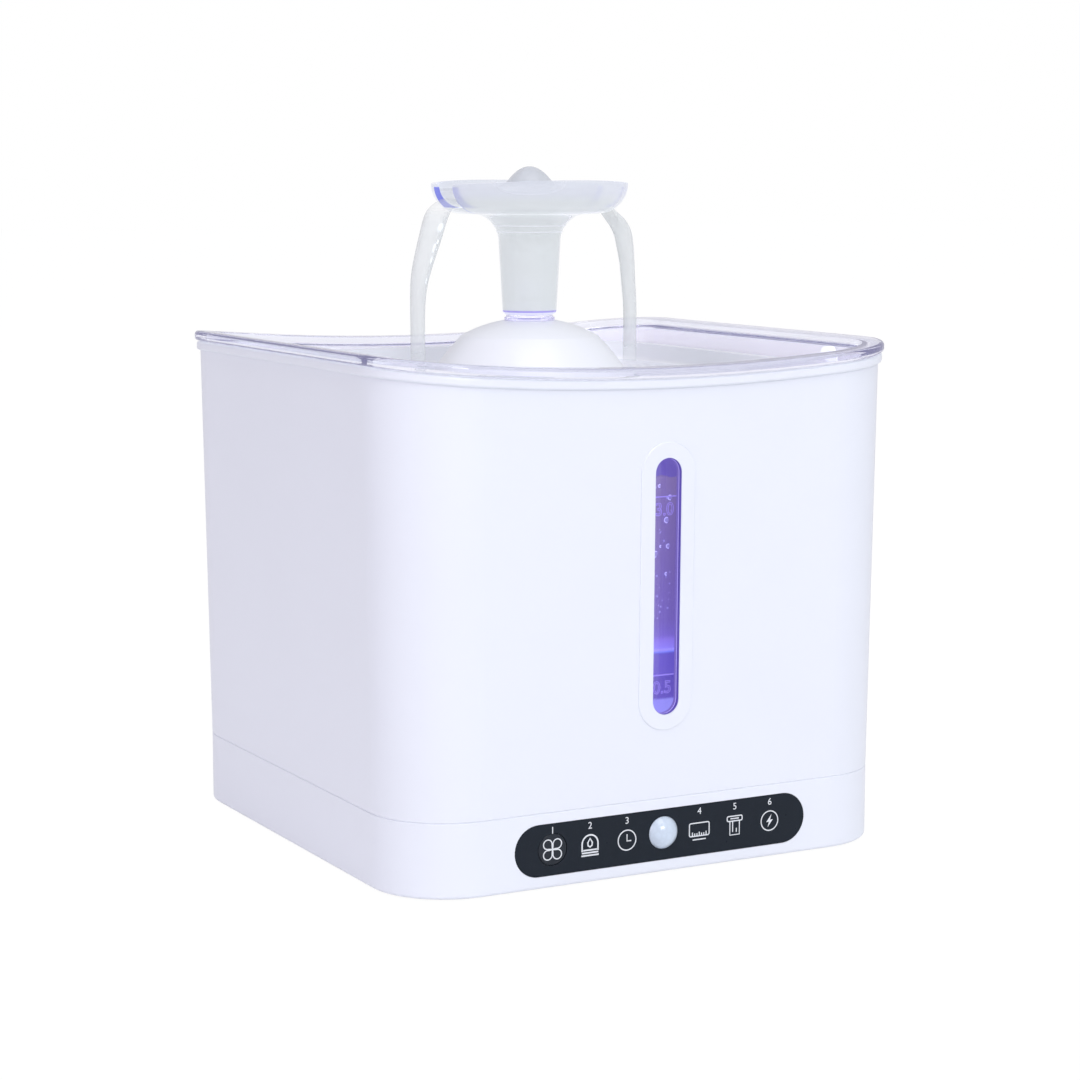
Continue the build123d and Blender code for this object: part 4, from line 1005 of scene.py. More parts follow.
    def of(self, finish: Finish) -> bpy.types.Material:
        """The material of a finish, made on first use.

        Args:
            finish: One of the palette's finishes, or another.

        Returns:
            The material.
        """
        if finish.name not in self.made:
            self.made[finish.name] = finish.material()
        return self.made[finish.name]

    def dress(
        self, piece: bpy.types.Object, finish: Finish, body: Body, slot: str = "clear_plastic"
    ) -> bpy.types.Object:
        """Dresses a piece and lets it ride on a body.

        Args:
            piece: The piece, in place.
            finish: Its finish.
            body: The body that carries it.
            slot: Not used.

        Returns:
            The piece.
        """
        piece.data.materials.clear()
        piece.data.materials.append(self.of(finish))
        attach(piece, body.value)
        return piece


# ---------------------------------------------------------------------------- meshes
def link_new(name: str, data: Any) -> bpy.types.Object:
    """Makes an object and puts it in the scene.

    Args:
        name: Its name.
        data: Its mesh, curve, lamp or camera.

    Returns:
        The object.
    """
    made = bpy.data.objects.new(name, data)
    bpy.context.scene.collection.objects.link(made)
    return made


def mesh_of(curve: bpy.types.Curve) -> bpy.types.Mesh:
    """Turns a curve or a text into a mesh.

    Args:
        curve: The curve or text.

    Returns:
        The mesh.
    """
    draft = link_new(curve.name + "_draft", curve)
    bpy.context.view_layer.update()
    mesh = bpy.data.meshes.new_from_object(draft)
    bpy.data.objects.remove(draft)
    return mesh


def add_mesh(
    name: str, points: Sequence[Sequence[float]], faces: Sequence[Sequence[int]], smooth: bool = True
) -> bpy.types.Object:
    """Makes a mesh object with outward faces.

    Args:
        name: The object's name.
        points: Its vertices in metres.
        faces: Its faces by vertex number.
        smooth: Whether it shades smoothly.

    Returns:
        The object.
    """
    mesh = bpy.data.meshes.new(name)
    mesh.from_pydata([tuple(p) for p in points], [], [tuple(f) for f in faces])
    work = bmesh.new()
    work.from_mesh(mesh)
    bmesh.ops.remove_doubles(work, verts=work.verts, dist=WELD)
    bmesh.ops.recalc_face_normals(work, faces=work.faces)
    for face in work.faces:
        face.smooth = smooth
    work.to_mesh(mesh)
    work.free()
    return link_new(name, mesh)


def quads(rows: int, count: int, closed: bool = True) -> list[tuple[int, ...]]:
    """Faces between rows of vertices.

    Args:
        rows: Number of rows.
        count: Vertices in each row.
        closed: Whether the last vertex of a row joins its first.

    Returns:
        The faces by vertex number.
    """
    faces = []
    for row in range(rows - 1):
        for column in range(count if closed else count - 1):
            a, b = row * count + column, row * count + (column + 1) % count
            faces.append((a, b, b + count, a + count))
    return faces


def circle(radius: float, z: float, count: int) -> list[Point3]:
    """Points of a level circle about the Z axis."""
    angles = [2 * math.pi * step / count for step in range(count)]
    return [(radius * math.cos(angle), radius * math.sin(angle), z) for angle in angles]


def unit_ball(rows: int, count: int) -> list[list[Point3]]:
    """Rings of a ball of radius 1 about the Z axis, from pole to pole but without its poles."""
    angles = [math.pi * row / rows for row in range(1, rows)]
    return [circle(math.sin(angle), math.cos(angle), count) for angle in angles]


def loft(name: str, rings: Sequence[Sequence[Sequence[float]]], ends: bool = True) -> bpy.types.Object:
    """Skins closed rings of equal length, one after the other.

    Args:
        name: The object's name.
        rings: The rings, each a list of points in metres.
        ends: Whether the first and last ring are closed with a face.

    Returns:
        The object.
    """
    count = len(rings[0])
    points = [point for ring in rings for point in ring]
    faces = quads(len(rings), count)
    if ends:
        faces.append(tuple(range(count)))
        faces.append(tuple((len(rings) - 1) * count + column for column in range(count)))
    return add_mesh(name, points, faces)


def rounded_square(half: float, radius: float, z: float, count: int = 12) -> list[Vector]:
    """Points of a rounded square about the Z axis.

    Args:
        half: Half its width.
        radius: Its corner radius.
        z: Its height.
        count: Steps in each corner and half as many on each side.

    Returns:
        The points, in order.
    """
    centre = half - radius
    side = []
    for step in range(count + 1):
        angle = step * math.pi / 2 / count
        side.append(Vector((centre + radius * math.cos(angle), centre + radius * math.sin(angle), z)))
    for step in range(1, count // 2 + 1):
        side.append(Vector((centre - 2 * centre * step / (count // 2 + 1), half, z)))
    turns = [Matrix.Rotation(corner * math.pi / 2, 3, "Z") for corner in range(4)]
    return [turn @ point for turn in turns for point in side]


def rounded_reach(half: float, radius: float, angle: float) -> float:
    """Distance from the middle to the edge of a rounded square.

    Args:
        half: Half its width.
        radius: Its corner radius.
        angle: Direction in radians.

    Returns:
        The distance.
    """
    c, s = abs(math.cos(angle)), abs(math.sin(angle))
    straight = half / max(c, s)
    inner = half - radius
    if min(c, s) * straight <= inner:
        return straight
    along = inner * (c + s)
    return along + math.sqrt(max(along * along - 2 * inner * inner + radius * radius, 0.0))


def corner_radius(half: float, reach: float) -> float:
    """Corner radius of a square with a half width and a reach along its diagonal."""
    return (half * math.sqrt(2) - reach) / (math.sqrt(2) - 1)


def wall_hit(node: str, start: Sequence[float], direction: Sequence[float]) -> Vector:
    """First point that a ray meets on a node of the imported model.

    Args:
        node: The node's name.
        start: Where the ray starts, in metres.
        direction: Which way it goes.

    Returns:
        The point.

    Raises:
        ValueError: If the ray misses.
    """
    found, point, _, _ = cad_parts[node].ray_cast(Vector(start), Vector(direction).normalized())
    if not found:
        raise ValueError(f"no {node} along {tuple(direction)} from {tuple(start)}")
    return point


def inner_outline(node: str, z: float) -> tuple[float, float]:
    """Inner half width and corner radius of a square node at a height.

    Args:
        node: The node.
        z: The height.

    Returns:
        Half width and corner radius.
    """
    away = 50 * MM
    side = -wall_hit(node, (away, 0, z), (0, -1, 0)).y
    reach = wall_hit(node, (away, away, z), (1, 1, 0)).xy.length
    return side, corner_radius(side, reach)


def front_wall(node: str, x: float, z: float, outside: bool = False) -> float:
    """Y of a node's front wall at a place.

    Args:
        node: The node's name.
        x: The place.
        z: The place.
        outside: Whether the outer face is wanted.

    Returns:
        The Y coordinate.
    """
    if outside:
        return wall_hit(node, (x, -0.2, z), (0, 1, 0)).y
    return wall_hit(node, (x, 0.0, z), (0, -1, 0)).y


def stroke_mesh(name: str, strokes: Iterable[Stroke], width: float, depth: float) -> bpy.types.Object:
    """Draws flat raised lines in the XZ plane, facing -Y.

    Args:
        name: The object's name.
        strokes: Each a list of (x, z) points in metres and whether it closes.
        width: Line width.
        depth: How far the lines stand proud.

    Returns:
        The object, as a mesh.
    """
    curve = bpy.data.curves.new(name, "CURVE")
    curve.dimensions = "3D"
    curve.bevel_depth = width / 2
    curve.bevel_resolution = 2
    curve.use_fill_caps = True
    for stroke, closed in strokes:
        spline = curve.splines.new("POLY")
        spline.points.add(len(stroke) - 1)
        for control, (x, z) in zip(spline.points, stroke):
            control.co = (x, 0.0, z, 1.0)
        spline.use_cyclic_u = closed
    mesh = mesh_of(curve)
    mesh.transform(Matrix.Diagonal((1.0, 2 * depth / width, 1.0, 1.0)))
    for face in mesh.polygons:
        face.use_smooth = True
    return link_new(name, mesh)


def digits_mesh(
    name: str, text: str, height: float, depth: float, outline: float = 0.0
) -> bpy.types.Object:
    """Raised digits in the XZ plane, centred on the origin and facing -Y.

    Args:
        name: The object's name.
        text: The digits.
        height: Height of the digits.
        depth: How far they stand proud.
        outline: Width of their outline where only that stands proud, or 0 for solid digits.

    Returns:
        The object, as a mesh.
    """
    digit_share = 0.7  # of the font's size, as tall as a digit stands
    curve = bpy.data.curves.new(name, "FONT")
    curve.body = text
    curve.size = height / digit_share
    curve.align_x = "CENTER"
    curve.align_y = "CENTER"
    if outline:
        curve.fill_mode = "NONE"
        curve.bevel_depth = outline / 2
        curve.bevel_resolution = 1
    else:
        curve.extrude = depth
    mesh = mesh_of(curve)
    mesh.transform(Matrix.Rotation(math.pi / 2, 4, "X"))
    return link_new(name, mesh)


def arc(x: float, z: float, radius: float, start: float = 0, end: float = 360) -> list[Point2]:
    """Points of a circle or arc in the XZ plane, about 12 degrees apart.

    Args:
        x: Centre.
        z: Centre.
        radius: Radius.
        start: First angle in degrees.
        end: Last angle in degrees.

    Returns:
        The points; a full circle leaves out its last.
    """
    sweep = end - start
    steps = max(6, int(abs(sweep) / 12))
    count = steps if abs(sweep) >= 360 else steps + 1
    angles = [math.radians(start + sweep * step / steps) for step in range(count)]
    return [(x + radius * math.cos(angle), z + radius * math.sin(angle)) for angle in angles]


def rounded_box(left: float, top: float, right: float, bottom: float, radius: float) -> list[Point2]:
    """Points of a rectangle with rounded corners in the XZ plane.

    Args:
        left: Its left side.
        top: Its top.
        right: Its right side.
        bottom: Its bottom.
        radius: Its corner radius.

    Returns:
        The points, in order.
    """
    corners = (
        (right - radius, top - radius, 90), (right - radius, bottom + radius, 0),
        (left + radius, bottom + radius, -90), (left + radius, top - radius, 180),
    )
    return [point for x, z, start in corners for point in arc(x, z, radius, start, start - 90)]


# ---------------------------------------------------------------------------- carried-over nodes
@dataclass
class PackedPieces:
    """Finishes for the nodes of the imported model."""

    palette: Palette
    shell_height: float = 150 * MM

    def plan(self) -> list[tuple[Finish, str]]:
        """Which nodes get which finish.

        Returns:
            Each finish with the names of its nodes.
        """
        p = self.palette
        side, radius = inner_outline("upper_shell", self.shell_height)
        # painted light: the shell's inner face glows pale above 120 mm, in place of lamp light from the
        # tank
        lit_shell = replace(
            p.shell, name="shell_lit_inside", lit_above=120 * MM, lit_over=35 * MM,
            lit_side=side, lit_radius=radius,
        )
        # painted highlight: the tray's finger tab, above 166.4 mm and beyond 78 mm along X, glows pale so
        # it shows white
        lit_tray = replace(
            p.tray, name="tray_lit_tab", lit_above=166.4 * MM,
            lit_beyond=78 * MM, lit_colour=(0.34, 0.35, 0.37),
        )
        return [
            (p.shell, "base_housing"),
            (lit_shell, "upper_shell"),
            (lit_tray, "drinking_tray"),
            (p.inner_white, "bottom_cover impeller filter_basket filter_lid coil_bobbin"),
            (p.film, "control_panel"),
            (p.cap, "settings_button"),
            (p.lens, "sensor_lens"),
            (p.clear, "water_tank riser_tube light_guides light_windows"),
            (p.head, "spout_tower"),
            (p.collar, "nozzle_collar"),
            (p.rubber, "rubber_feet cover_seal port_plug spout_seal"),
            (p.steel, "cover_screws board_screws motion_sensor charging_socket"),
            (p.steel, "coil_core coil_retainer pump_shaft"),
            (p.ferrite, "rotor_magnet"),
            (p.board, "panel_board main_board light_board"),
            (p.black, "board_components push_switch battery_holder"),
            (p.grey, "switch_plunger pump_housing pump_cover shaft_bushes"),
            (p.copper, "coil_winding"),
            (p.cell, "battery_cells"),
            (p.lamp, "indicator_leds tank_leds"),
            (p.sponge, "pump_sponge"),
            (p.fleece, "filter_fleece"),
            (p.carbon, "filter_carbon"),
        ]

    def dress(self) -> None:
        """Puts each finish in its nodes' material slots."""
        for finish, names in self.plan():
            for name in names.split():
                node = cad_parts[name]
                node.data.materials.clear()
                node.data.materials.append(self.palette.of(finish))
                log.info("node %s: %s", name, finish.name)


# ---------------------------------------------------------------------------- control strip
class Pictogram(Enum):
    """The pictograms of the control strip, from number 1 to 6."""

    SETTINGS = "settings"
    MOTION = "motion"
    TIMER = "timer"
    STANDARD = "standard"
    CARTRIDGE = "cartridge"
    CHARGING = "charging"


def settings_strokes() -> list[Stroke]:
    """Four petals around the middle of the button.

    Returns:
        The lines, in millimetres, and that each closes.
    """
    petal = [(0.2, 0.0), *arc(2.5, 0, 1.6, 215, 505), (0.2, 0.0)]
    petals = []
    for turn in (45, 135, 225, 315):
        c, s = math.cos(math.radians(turn)), math.sin(math.radians(turn))
        petals.append(([(x * c - z * s, x * s + z * c) for x, z in petal], True))
    return petals


STROKES: dict[Pictogram, list[Stroke]] = {
    Pictogram.SETTINGS: settings_strokes(),
    Pictogram.MOTION: [
        ([(-3.0, -2.0), *arc(0, 0.5, 3.0, 180, 0), (3.0, -2.0)], False),
        ([(0, 2.3), (0.85, 0.9), (0.75, -0.1), (0, -0.6), (-0.75, -0.1), (-0.85, 0.9)], True),
        ([(-3.3, -3.4), (3.3, -3.4)], False),
        ([(-2.6, -1.6), (2.6, -1.6)], False),
        ([(-3.1, -2.5), (3.1, -2.5)], False),
    ],
    Pictogram.TIMER: [(arc(0, 0, 3.4), True), ([(0, 2.0), (0, -0.3), (1.6, -0.3)], False)],
    Pictogram.STANDARD: [
        (rounded_box(-3.9, 2.6, 3.9, -1.9, 0.6), True),
        ([(-2.6, -3.1), (2.6, -3.1)], False),
        *(
            ([(-2.7 + step * 0.9, -1.7), (-2.7 + step * 0.9, -0.9 + 0.4 * (step % 3 == 0))], False)
            for step in range(7)
        ),
    ],
    Pictogram.CARTRIDGE: [
        (rounded_box(-3.0, 3.3, 3.0, 1.6, 0.5), True),
        ([(-1.9, 1.5), (-1.9, -3.2), (1.9, -3.2), (1.9, 1.5)], False),
        ([(-1.7, 2.45), (1.7, 2.45)], False),
        ([(-0.8, 1.5), (-0.8, -2.2)], False),
        ([(0.7, -2.3), (0.7, -0.9)], False),
    ],
    Pictogram.CHARGING: [(arc(0, 0, 3.4), True)],
}


@dataclass
class ControlStripPrint:
    """White pictograms and plain numbers on the control strip."""

    palette: Palette
    pitch: float = 14.1 * MM
    icon_lift: float = -0.3 * MM
    number_lift: float = 6.3 * MM
    number_height: float = 2.3 * MM
    proud: float = 0.03 * MM
    line: float = 0.42 * MM
    button_line: float = 0.4 * MM
    bold_line: float = 0.56 * MM

    def bolt(self) -> bpy.types.Object:
        """The solid lightning bolt of the charging pictogram.

        Returns:
            The piece, about its own centre.
        """
        outline = [(0.75, 2.2), (-1.35, -0.4), (-0.2, -0.3), (-0.75, -2.2), (1.35, 0.4), (0.2, 0.3)]
        front = [(x * MM, -self.proud, z * MM) for x, z in outline]
        back = [(x, 0.0, z) for x, _, z in front]
        tops = [(0, 1, 2, 5), (2, 3, 4, 5)]
        return add_mesh("print_bolt", front + back, quads(2, len(outline)) + tops, smooth=False)

    def build(self) -> list[bpy.types.Object]:
        """Makes the prints.

        Returns:
            The pieces.
        """
        low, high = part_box("control_panel")
        face, middle = low.y, (low.z + high.z) / 2
        button_low, button_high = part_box("settings_button")
        places = (
            (Pictogram.SETTINGS, (button_low.x + button_high.x) / 2, self.button_line),
            (Pictogram.MOTION, -2 * self.pitch, self.bold_line),
            (Pictogram.TIMER, -self.pitch, self.line),
            (Pictogram.STANDARD, self.pitch, self.line),
            (Pictogram.CARTRIDGE, 2 * self.pitch, self.line),
            (Pictogram.CHARGING, 3 * self.pitch, self.line),
        )
        pieces = []
        for number, (pictogram, x, line) in enumerate(places, start=1):
            lines = [
                ([(px * MM, pz * MM) for px, pz in points], closed)
                for points, closed in STROKES[pictogram]
            ]
            icon = stroke_mesh(f"print_{pictogram.value}", lines, line, self.proud)
            on_button = pictogram is Pictogram.SETTINGS
            front = button_low.y if on_button else face
            icon.location = (x, front, middle if on_button else middle + self.icon_lift)
            body = Body.BUTTON if on_button else Body.BASE
            pieces.append(self.palette.dress(icon, self.palette.ink, body, "dark_film"))
            label = digits_mesh(f"number_{number}", str(number), self.number_height, self.proud)
            label.location = (x, face, middle + self.number_lift)
            pieces.append(self.palette.dress(label, self.palette.ink, Body.BASE, "dark_film"))
        bolt = self.bolt()
        bolt.location = (3 * self.pitch, face, middle + self.icon_lift)
        pieces.append(self.palette.dress(bolt, self.palette.ink, Body.BASE, "dark_film"))
        return pieces


# ---------------------------------------------------------------------------- water
@dataclass
class TankWater:
    """Violet-lit water in the tank; its bands of painted light are given by height in millimetres."""

    palette: Palette
    level: float = 133.6 * MM
    clearance: float = 0.25 * MM
    meniscus: float = 1.2 * MM
    foot_gap: float = 0.3 * MM
    foot_inset: float = 3 * MM
    foot_round: float = 4 * MM
    foot_wall: float = 20 * MM
    # painted light: glow colours of the water, by height in millimetres
    bands: tuple[tuple[float, Colour], ...] = (
        (30.0, (0.32, 0.30, 0.89)),
        (57.6, (0.30, 0.28, 0.87)),
        (58.4, (0.10, 0.06, 0.42)),
        (65.4, (0.09, 0.055, 0.40)),
        (66.4, (0.11, 0.07, 0.48)),
        (73.6, (0.10, 0.065, 0.46)),
        (74.2, (0.16, 0.20, 0.92)),
        (74.8, (0.40, 0.34, 1.0)),
        (75.5, (0.26, 0.20, 0.86)),
        (78.2, (0.24, 0.16, 0.72)),
        (79.8, (0.16, 0.105, 0.50)),
        (85.0, (0.14, 0.09, 0.38)),
        (105.0, (0.15, 0.10, 0.32)),
        (133.0, (0.175, 0.12, 0.29)),
    )

    def build(self) -> list[bpy.types.Object]:
        """Makes the water body.

        Returns:
            The pieces.
        """
        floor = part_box("pump_housing")[0].z
        foot = floor + self.foot_gap
        rings = []
        for z, inset in (
            (foot, self.foot_inset), (floor + self.foot_round, 0.0), (floor + self.foot_wall, 0.0),
            (self.level / 2, 0.0), (self.level - self.meniscus, 0.0), (self.level, self.meniscus / 2),
        ):
            half, radius = inner_outline("water_tank", max(z, floor + self.foot_round))
            inset += self.clearance
            rings.append(rounded_square(half - inset, radius - inset, z))
        bands = tuple(
            (min(max((z * MM - foot) / (self.level - foot), 0.0), 1.0), colour)
            for z, colour in self.bands
        )
        finish = LitWater("lit_tank_water", low=foot, high=self.level, bands=bands)
        return [self.palette.dress(loft("tank_water", rings), finish, Body.TANK)]


@dataclass
class TrayWater:
    """Thin sheet of water on the drinking tray, rippled where the streams land."""

    palette: Palette
    gap: float = 0.25 * MM
    landing: float = 43.0 * MM
    wave: float = 0.2 * MM
    wavelength: float = 6.5 * MM
    decay: float = 14 * MM
    climb: float = 0.44 * MM
    dome_climb: float = 40.0
    edge_climb: float = 60.0
    level_at: float = 83 * MM
    edge_at: float = 60 * MM
    dome_from: float = 70 * MM
    rings: int = 64
    spokes: int = 160

    def height(self, x: float, y: float) -> float:
        """Ripple height at a place.

        Args:
            x: The place.
            y: The place.

        Returns:
            The height above the still level.
        """
        total = 0.0
        for side in (-1, 1):
            away = math.hypot(x - side * self.landing, y)
            swing = math.cos(2 * math.pi * away / self.wavelength)
            total += self.wave * swing * math.exp(-away / self.decay)
        return total

    def build(self) -> list[bpy.types.Object]:
        """Makes the sheet of water.

        Returns:
            The pieces.
        """
        tray, at = "drinking_tray", self.edge_at
        level = wall_hit(tray, (self.level_at, 0.0, 0.3), (0, 0, -1)).z
        half = -wall_hit(tray, (at, 0, level), (0, -1, 0)).y - self.gap
        reach = wall_hit(tray, (at, at, level), (1, 1, 0)).xy.length - self.gap
        radius = corner_radius(half, reach)
        dome = abs(wall_hit(tray, (0.0, -self.dome_from, level), (0, 1, 0)).y) + self.gap
        rings = []
        for step in range(self.rings + 1):
            share = step / self.rings
            climb = math.exp(-share * self.dome_climb) + math.exp(-(1 - share) * self.edge_climb)
            ring = []
            for spoke in range(self.spokes):
                angle = 2 * math.pi * spoke / self.spokes
                distance = dome + (rounded_reach(half, radius, angle) - dome) * share
                x, y = distance * math.cos(angle), distance * math.sin(angle)
                ring.append((x, y, level + self.height(x, y) + self.climb * climb))
            rings.append(ring)
        sheet = loft("tray_water", rings, ends=False)
        return [self.palette.dress(sheet, self.palette.water, Body.TRAY)]


@dataclass
class PouringWater:
    """Water in the bowl, its crown over the bore, and the two falling streams.

    A row of a stream gives its centre's radius and height, its width across and its thickness along
    the fall. A row of painted glints gives a pale glowing bead's middle, half its width, half its
    height and its lean along X over its height; each bead is a painted highlight. Both are in
    millimetres.
    """

    palette: Palette
    surface: float = 227.0 * MM
    pool_gap: float = 0.15 * MM
    pool_floor_gap: float = 0.1 * MM
    pool_points: int = 48
    crown_radius: float = 7.4 * MM
    crown_top: float = 235.2 * MM
    crown_foot: float = 3.4 * MM
    crown_steps: int = 15
    crown_seed: int = 7
    lumps: int = 5
    swell: float = 0.045
    lump_height: float = 0.15 * MM
    seam_top: float = 214.4 * MM
    seam_low: float = 212.2 * MM
    seam_bead: float = 0.22 * MM
    # painted highlights: pale beads on the left stream where it glints
    air: tuple[tuple[Point3, float, float, float], ...] = (
        ((-36.8, -3.0, 214.0), 0.95, 1.6, 0.35), ((-39.3, -3.0, 207.0), 0.45, 1.7, 0.32),
        ((-40.4, -3.0, 202.9), 0.36, 1.3, 0.28), ((-42.3, -2.8, 195.6), 0.25, 1.1, 0.2),
        ((-38.6, -4.4, 209.2), 0.25, 0.9, 0.3),
    )
    left: tuple[tuple[float, float, float, float], ...] = (
        (25.0, 222.4, 10.0, 1.6), (29.5, 222.4, 12.4, 2.4), (33.2, 221.8, 13.4, 3.6),
        (35.6, 219.6, 12.6, 5.4), (37.3, 216.6, 11.4, 6.6), (38.9, 212.0, 10.4, 6.8),
        (40.6, 206.6, 9.6, 6.6), (42.5, 200.0, 9.0, 6.0), (43.7, 194.5, 8.0, 5.4),
        (44.3, 187.5, 7.0, 4.8), (44.3, 178.0, 6.6, 4.6), (44.2, 165.0, 6.8, 4.8),
    )
    right: tuple[tuple[float, float, float, float], ...] = (
        (25.0, 222.2, 9.0, 1.5), (28.6, 221.6, 11.0, 2.0), (31.2, 219.8, 10.4, 2.8),
        (34.0, 217.0, 9.4, 4.0), (36.5, 214.4, 8.4, 5.2), (38.2, 211.4, 7.8, 5.8),
        (39.2, 206.8, 7.4, 5.6), (40.2, 200.6, 6.8, 4.9), (40.7, 194.0, 6.4, 4.6),
        (41.3, 186.2, 6.0, 4.4), (41.5, 178.0, 6.0, 4.3), (41.5, 165.0, 6.2, 4.5),
    )
    stream_seed: int = 11
    steps: int = 84
    sides: int = 64
    look: float = 0.02
    pinch: float = 0.25
    pinch_width: float = 12.0
    wobble: float = 0.015
    wobble_step: float = 0.25

    def build(self) -> list[bpy.types.Object]:
        """Makes the water in and under the pouring head.

        Returns:
            The pieces.
        """
        dress, finishes = self.palette.dress, self.palette
        pool = dress(self.bowl_water(), finishes.pool, Body.SPOUT)
        streams = [
            dress(self.stream("left_stream", -1, self.left), finishes.stream, Body.TRAY),
            dress(self.stream("right_stream", 1, self.right), finishes.stream, Body.TRAY),
        ]
        # painted highlights: the glowing beads on the left stream
        air = [
            dress(self.air_bead(f"stream_air_{index}", *row), finishes.air, Body.TRAY)
            for index, row in enumerate(self.air)
        ]
        lowest = [min(vertex.co.z for vertex in piece.data.vertices) for piece in streams]
        for piece, low in zip(streams + air, lowest + lowest[:1] * len(air)):
            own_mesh(piece)
        # painted highlights: the seam beads glow pale
        seams = [
            dress(self.seam_ring(f"stem_seam_{name}", z), finishes.seam, Body.SPOUT)
            for name, z in (("upper", self.seam_top), ("lower", self.seam_low))
        ]
        return [pool, *streams, *air, *seams]

    def air_bead(
        self, name: str, place: Point3, across: float, tall: float, lean: float
    ) -> bpy.types.Object:
        """One drawn-out pale bead at the skin of a stream, a painted highlight.

        Args:
            name: The piece's name.
            place: Its middle, in millimetres.
            across: Half its width, in millimetres.
            tall: Half its height, in millimetres.
            lean: How far it leans along X over its height.

        Returns:
            The piece.
        """
        x, y, z = place
        rings = [
            [
                ((x + u * across + w * tall * lean) * MM, (y + v * across) * MM, (z + w * tall) * MM)
                for u, v, w in ring
            ]
            for ring in unit_ball(10, 14)
        ]
        return loft(name, rings)

    def seam_ring(self, name: str, z: float) -> bpy.types.Object:
        """One fine bead around the haunch, where the stem is welded into the bowl.

        Args:
            name: The piece's name.
            z: Its height.

        Returns:
            The piece.
        """
        outside = wall_hit("spout_tower", (0, -60 * MM, z), (0, 1, 0)).xy.length
        rings = [
            circle(outside + self.seam_bead * u, z + self.seam_bead * v, 72)
            for u, v, _ in circle(1.0, 0.0, 8)
        ]
        return loft(name, rings + rings[:1], ends=False)

    def crown_profile(self, edge: float) -> list[Point2]:
        """Radius and height of the pool's surface, from its edge in and up the crown.

        Args:
            edge: Radius of the pool.

        Returns:
            The profile, without the crown's tip.
        """
        surface, crown = self.surface, self.crown_radius
        profile = [
            (edge, surface + 0.3 * MM), (edge * 0.96, surface), (edge * 0.7, surface),
            (crown * 2.0, surface + 0.25 * MM), (crown * 1.5, surface + 0.9 * MM),
            (crown * 1.2, surface + 2.0 * MM),
        ]
        foot = surface + self.crown_foot
        for step in range(self.crown_steps):
            climb = math.sin(math.pi / 2 * step / self.crown_steps)
            profile.append((crown * math.sqrt(1 - climb), foot + (self.crown_top - foot) * climb))
        return profile

    def bowl_water(self) -> bpy.types.Object:
        """The pool in the bowl with the crown of water that wells up in its middle.

        Returns:
            The piece.
        """
        dice = random.Random(self.crown_seed)
        phases = [dice.uniform(0, 2 * math.pi) for _ in range(self.lumps)]
        edge = wall_hit("spout_tower", (0, 0, self.surface), (0, -1, 0)).xy.length - self.pool_gap
        base = wall_hit("spout_tower", (20 * MM, 0, self.surface), (0, 0, -1)).z + self.pool_floor_gap
        count = self.pool_points
        rings = [
            circle(radius, z, count)
            for radius, z in (
                (edge - 5.5 * MM, base), (edge - 2.2 * MM, base + 2.0 * MM),
                (edge, self.surface - 0.8 * MM),
            )
        ]
        for radius, z in self.crown_profile(edge):
            ring = []
            for spoke in range(count):
                angle = 2 * math.pi * spoke / count
                lump = sum(
                    math.cos(order * angle + phase) / order for order, phase in enumerate(phases, start=2)
                )
                swell = self.swell * lump if radius < 2 * self.crown_radius else 0.0
                reach = radius * (1 + swell)
                rise = self.lump_height * lump * min(1.0, radius / self.crown_radius)
                ring.append((reach * math.cos(angle), reach * math.sin(angle), z + rise))
            rings.append(ring)
        return loft("bowl_water", rings)

    def stream(
        self, name: str, side: int, route: tuple[tuple[float, float, float, float], ...]
    ) -> bpy.types.Object:
        """One stream from its notch down to the tray.

        Args:
            name: The piece's name.
            side: -1 for the left, 1 for the right.
            route: Its rows.

        Returns:
            The piece.
        """
        phase = random.Random(self.stream_seed + side).uniform(0, 6.28)
        rings = []
        for step in range(self.steps + 1):
            share = step / self.steps
            radius, z, width, thick = sample_route(route, share)
            ahead = sample_route(route, min(share + self.look, 1.0))
            behind = sample_route(route, max(share - self.look, 0.0))
            along = Vector((ahead[0] - behind[0], 0, ahead[1] - behind[1])).normalized()
            squeeze = self.pinch * min(1.0, width / self.pinch_width) ** 3
            ring = []
            for corner in range(self.sides):
                angle = 2 * math.pi * corner / self.sides
                wobble = 1 + self.wobble * math.sin(3 * angle + phase + step * self.wobble_step)
                y = width / 2 * math.cos(angle) * wobble
                offset = thick / 2 * math.sin(angle) * (1 - squeeze * math.cos(2 * angle)) * wobble
                x = radius - along.z * offset
                ring.append((side * x * MM, y * MM, (z + along.x * offset) * MM))
            rings.append(ring)
        return loft(name, rings)


def sample_route(route: Sequence[Sequence[float]], share: float) -> list[float]:
    """Smooth value between the rows of a route, by a Catmull-Rom curve.

    Args:
        route: Rows of equal length.
        share: 0 at the first row, 1 at the last.

    Returns:
        The row there.
    """
    place = share * (len(route) - 1)
    index = min(int(place), len(route) - 2)
    t = place - index
    rows = [route[min(max(index + step, 0), len(route) - 1)] for step in (-1, 0, 1, 2)]
    return [
        (2 * b + (c - a) * t + (2 * a - 5 * b + 4 * c - d) * t**2 + (3 * b - a - 3 * c + d) * t**3) / 2
        for a, b, c, d in zip(*rows)
    ]


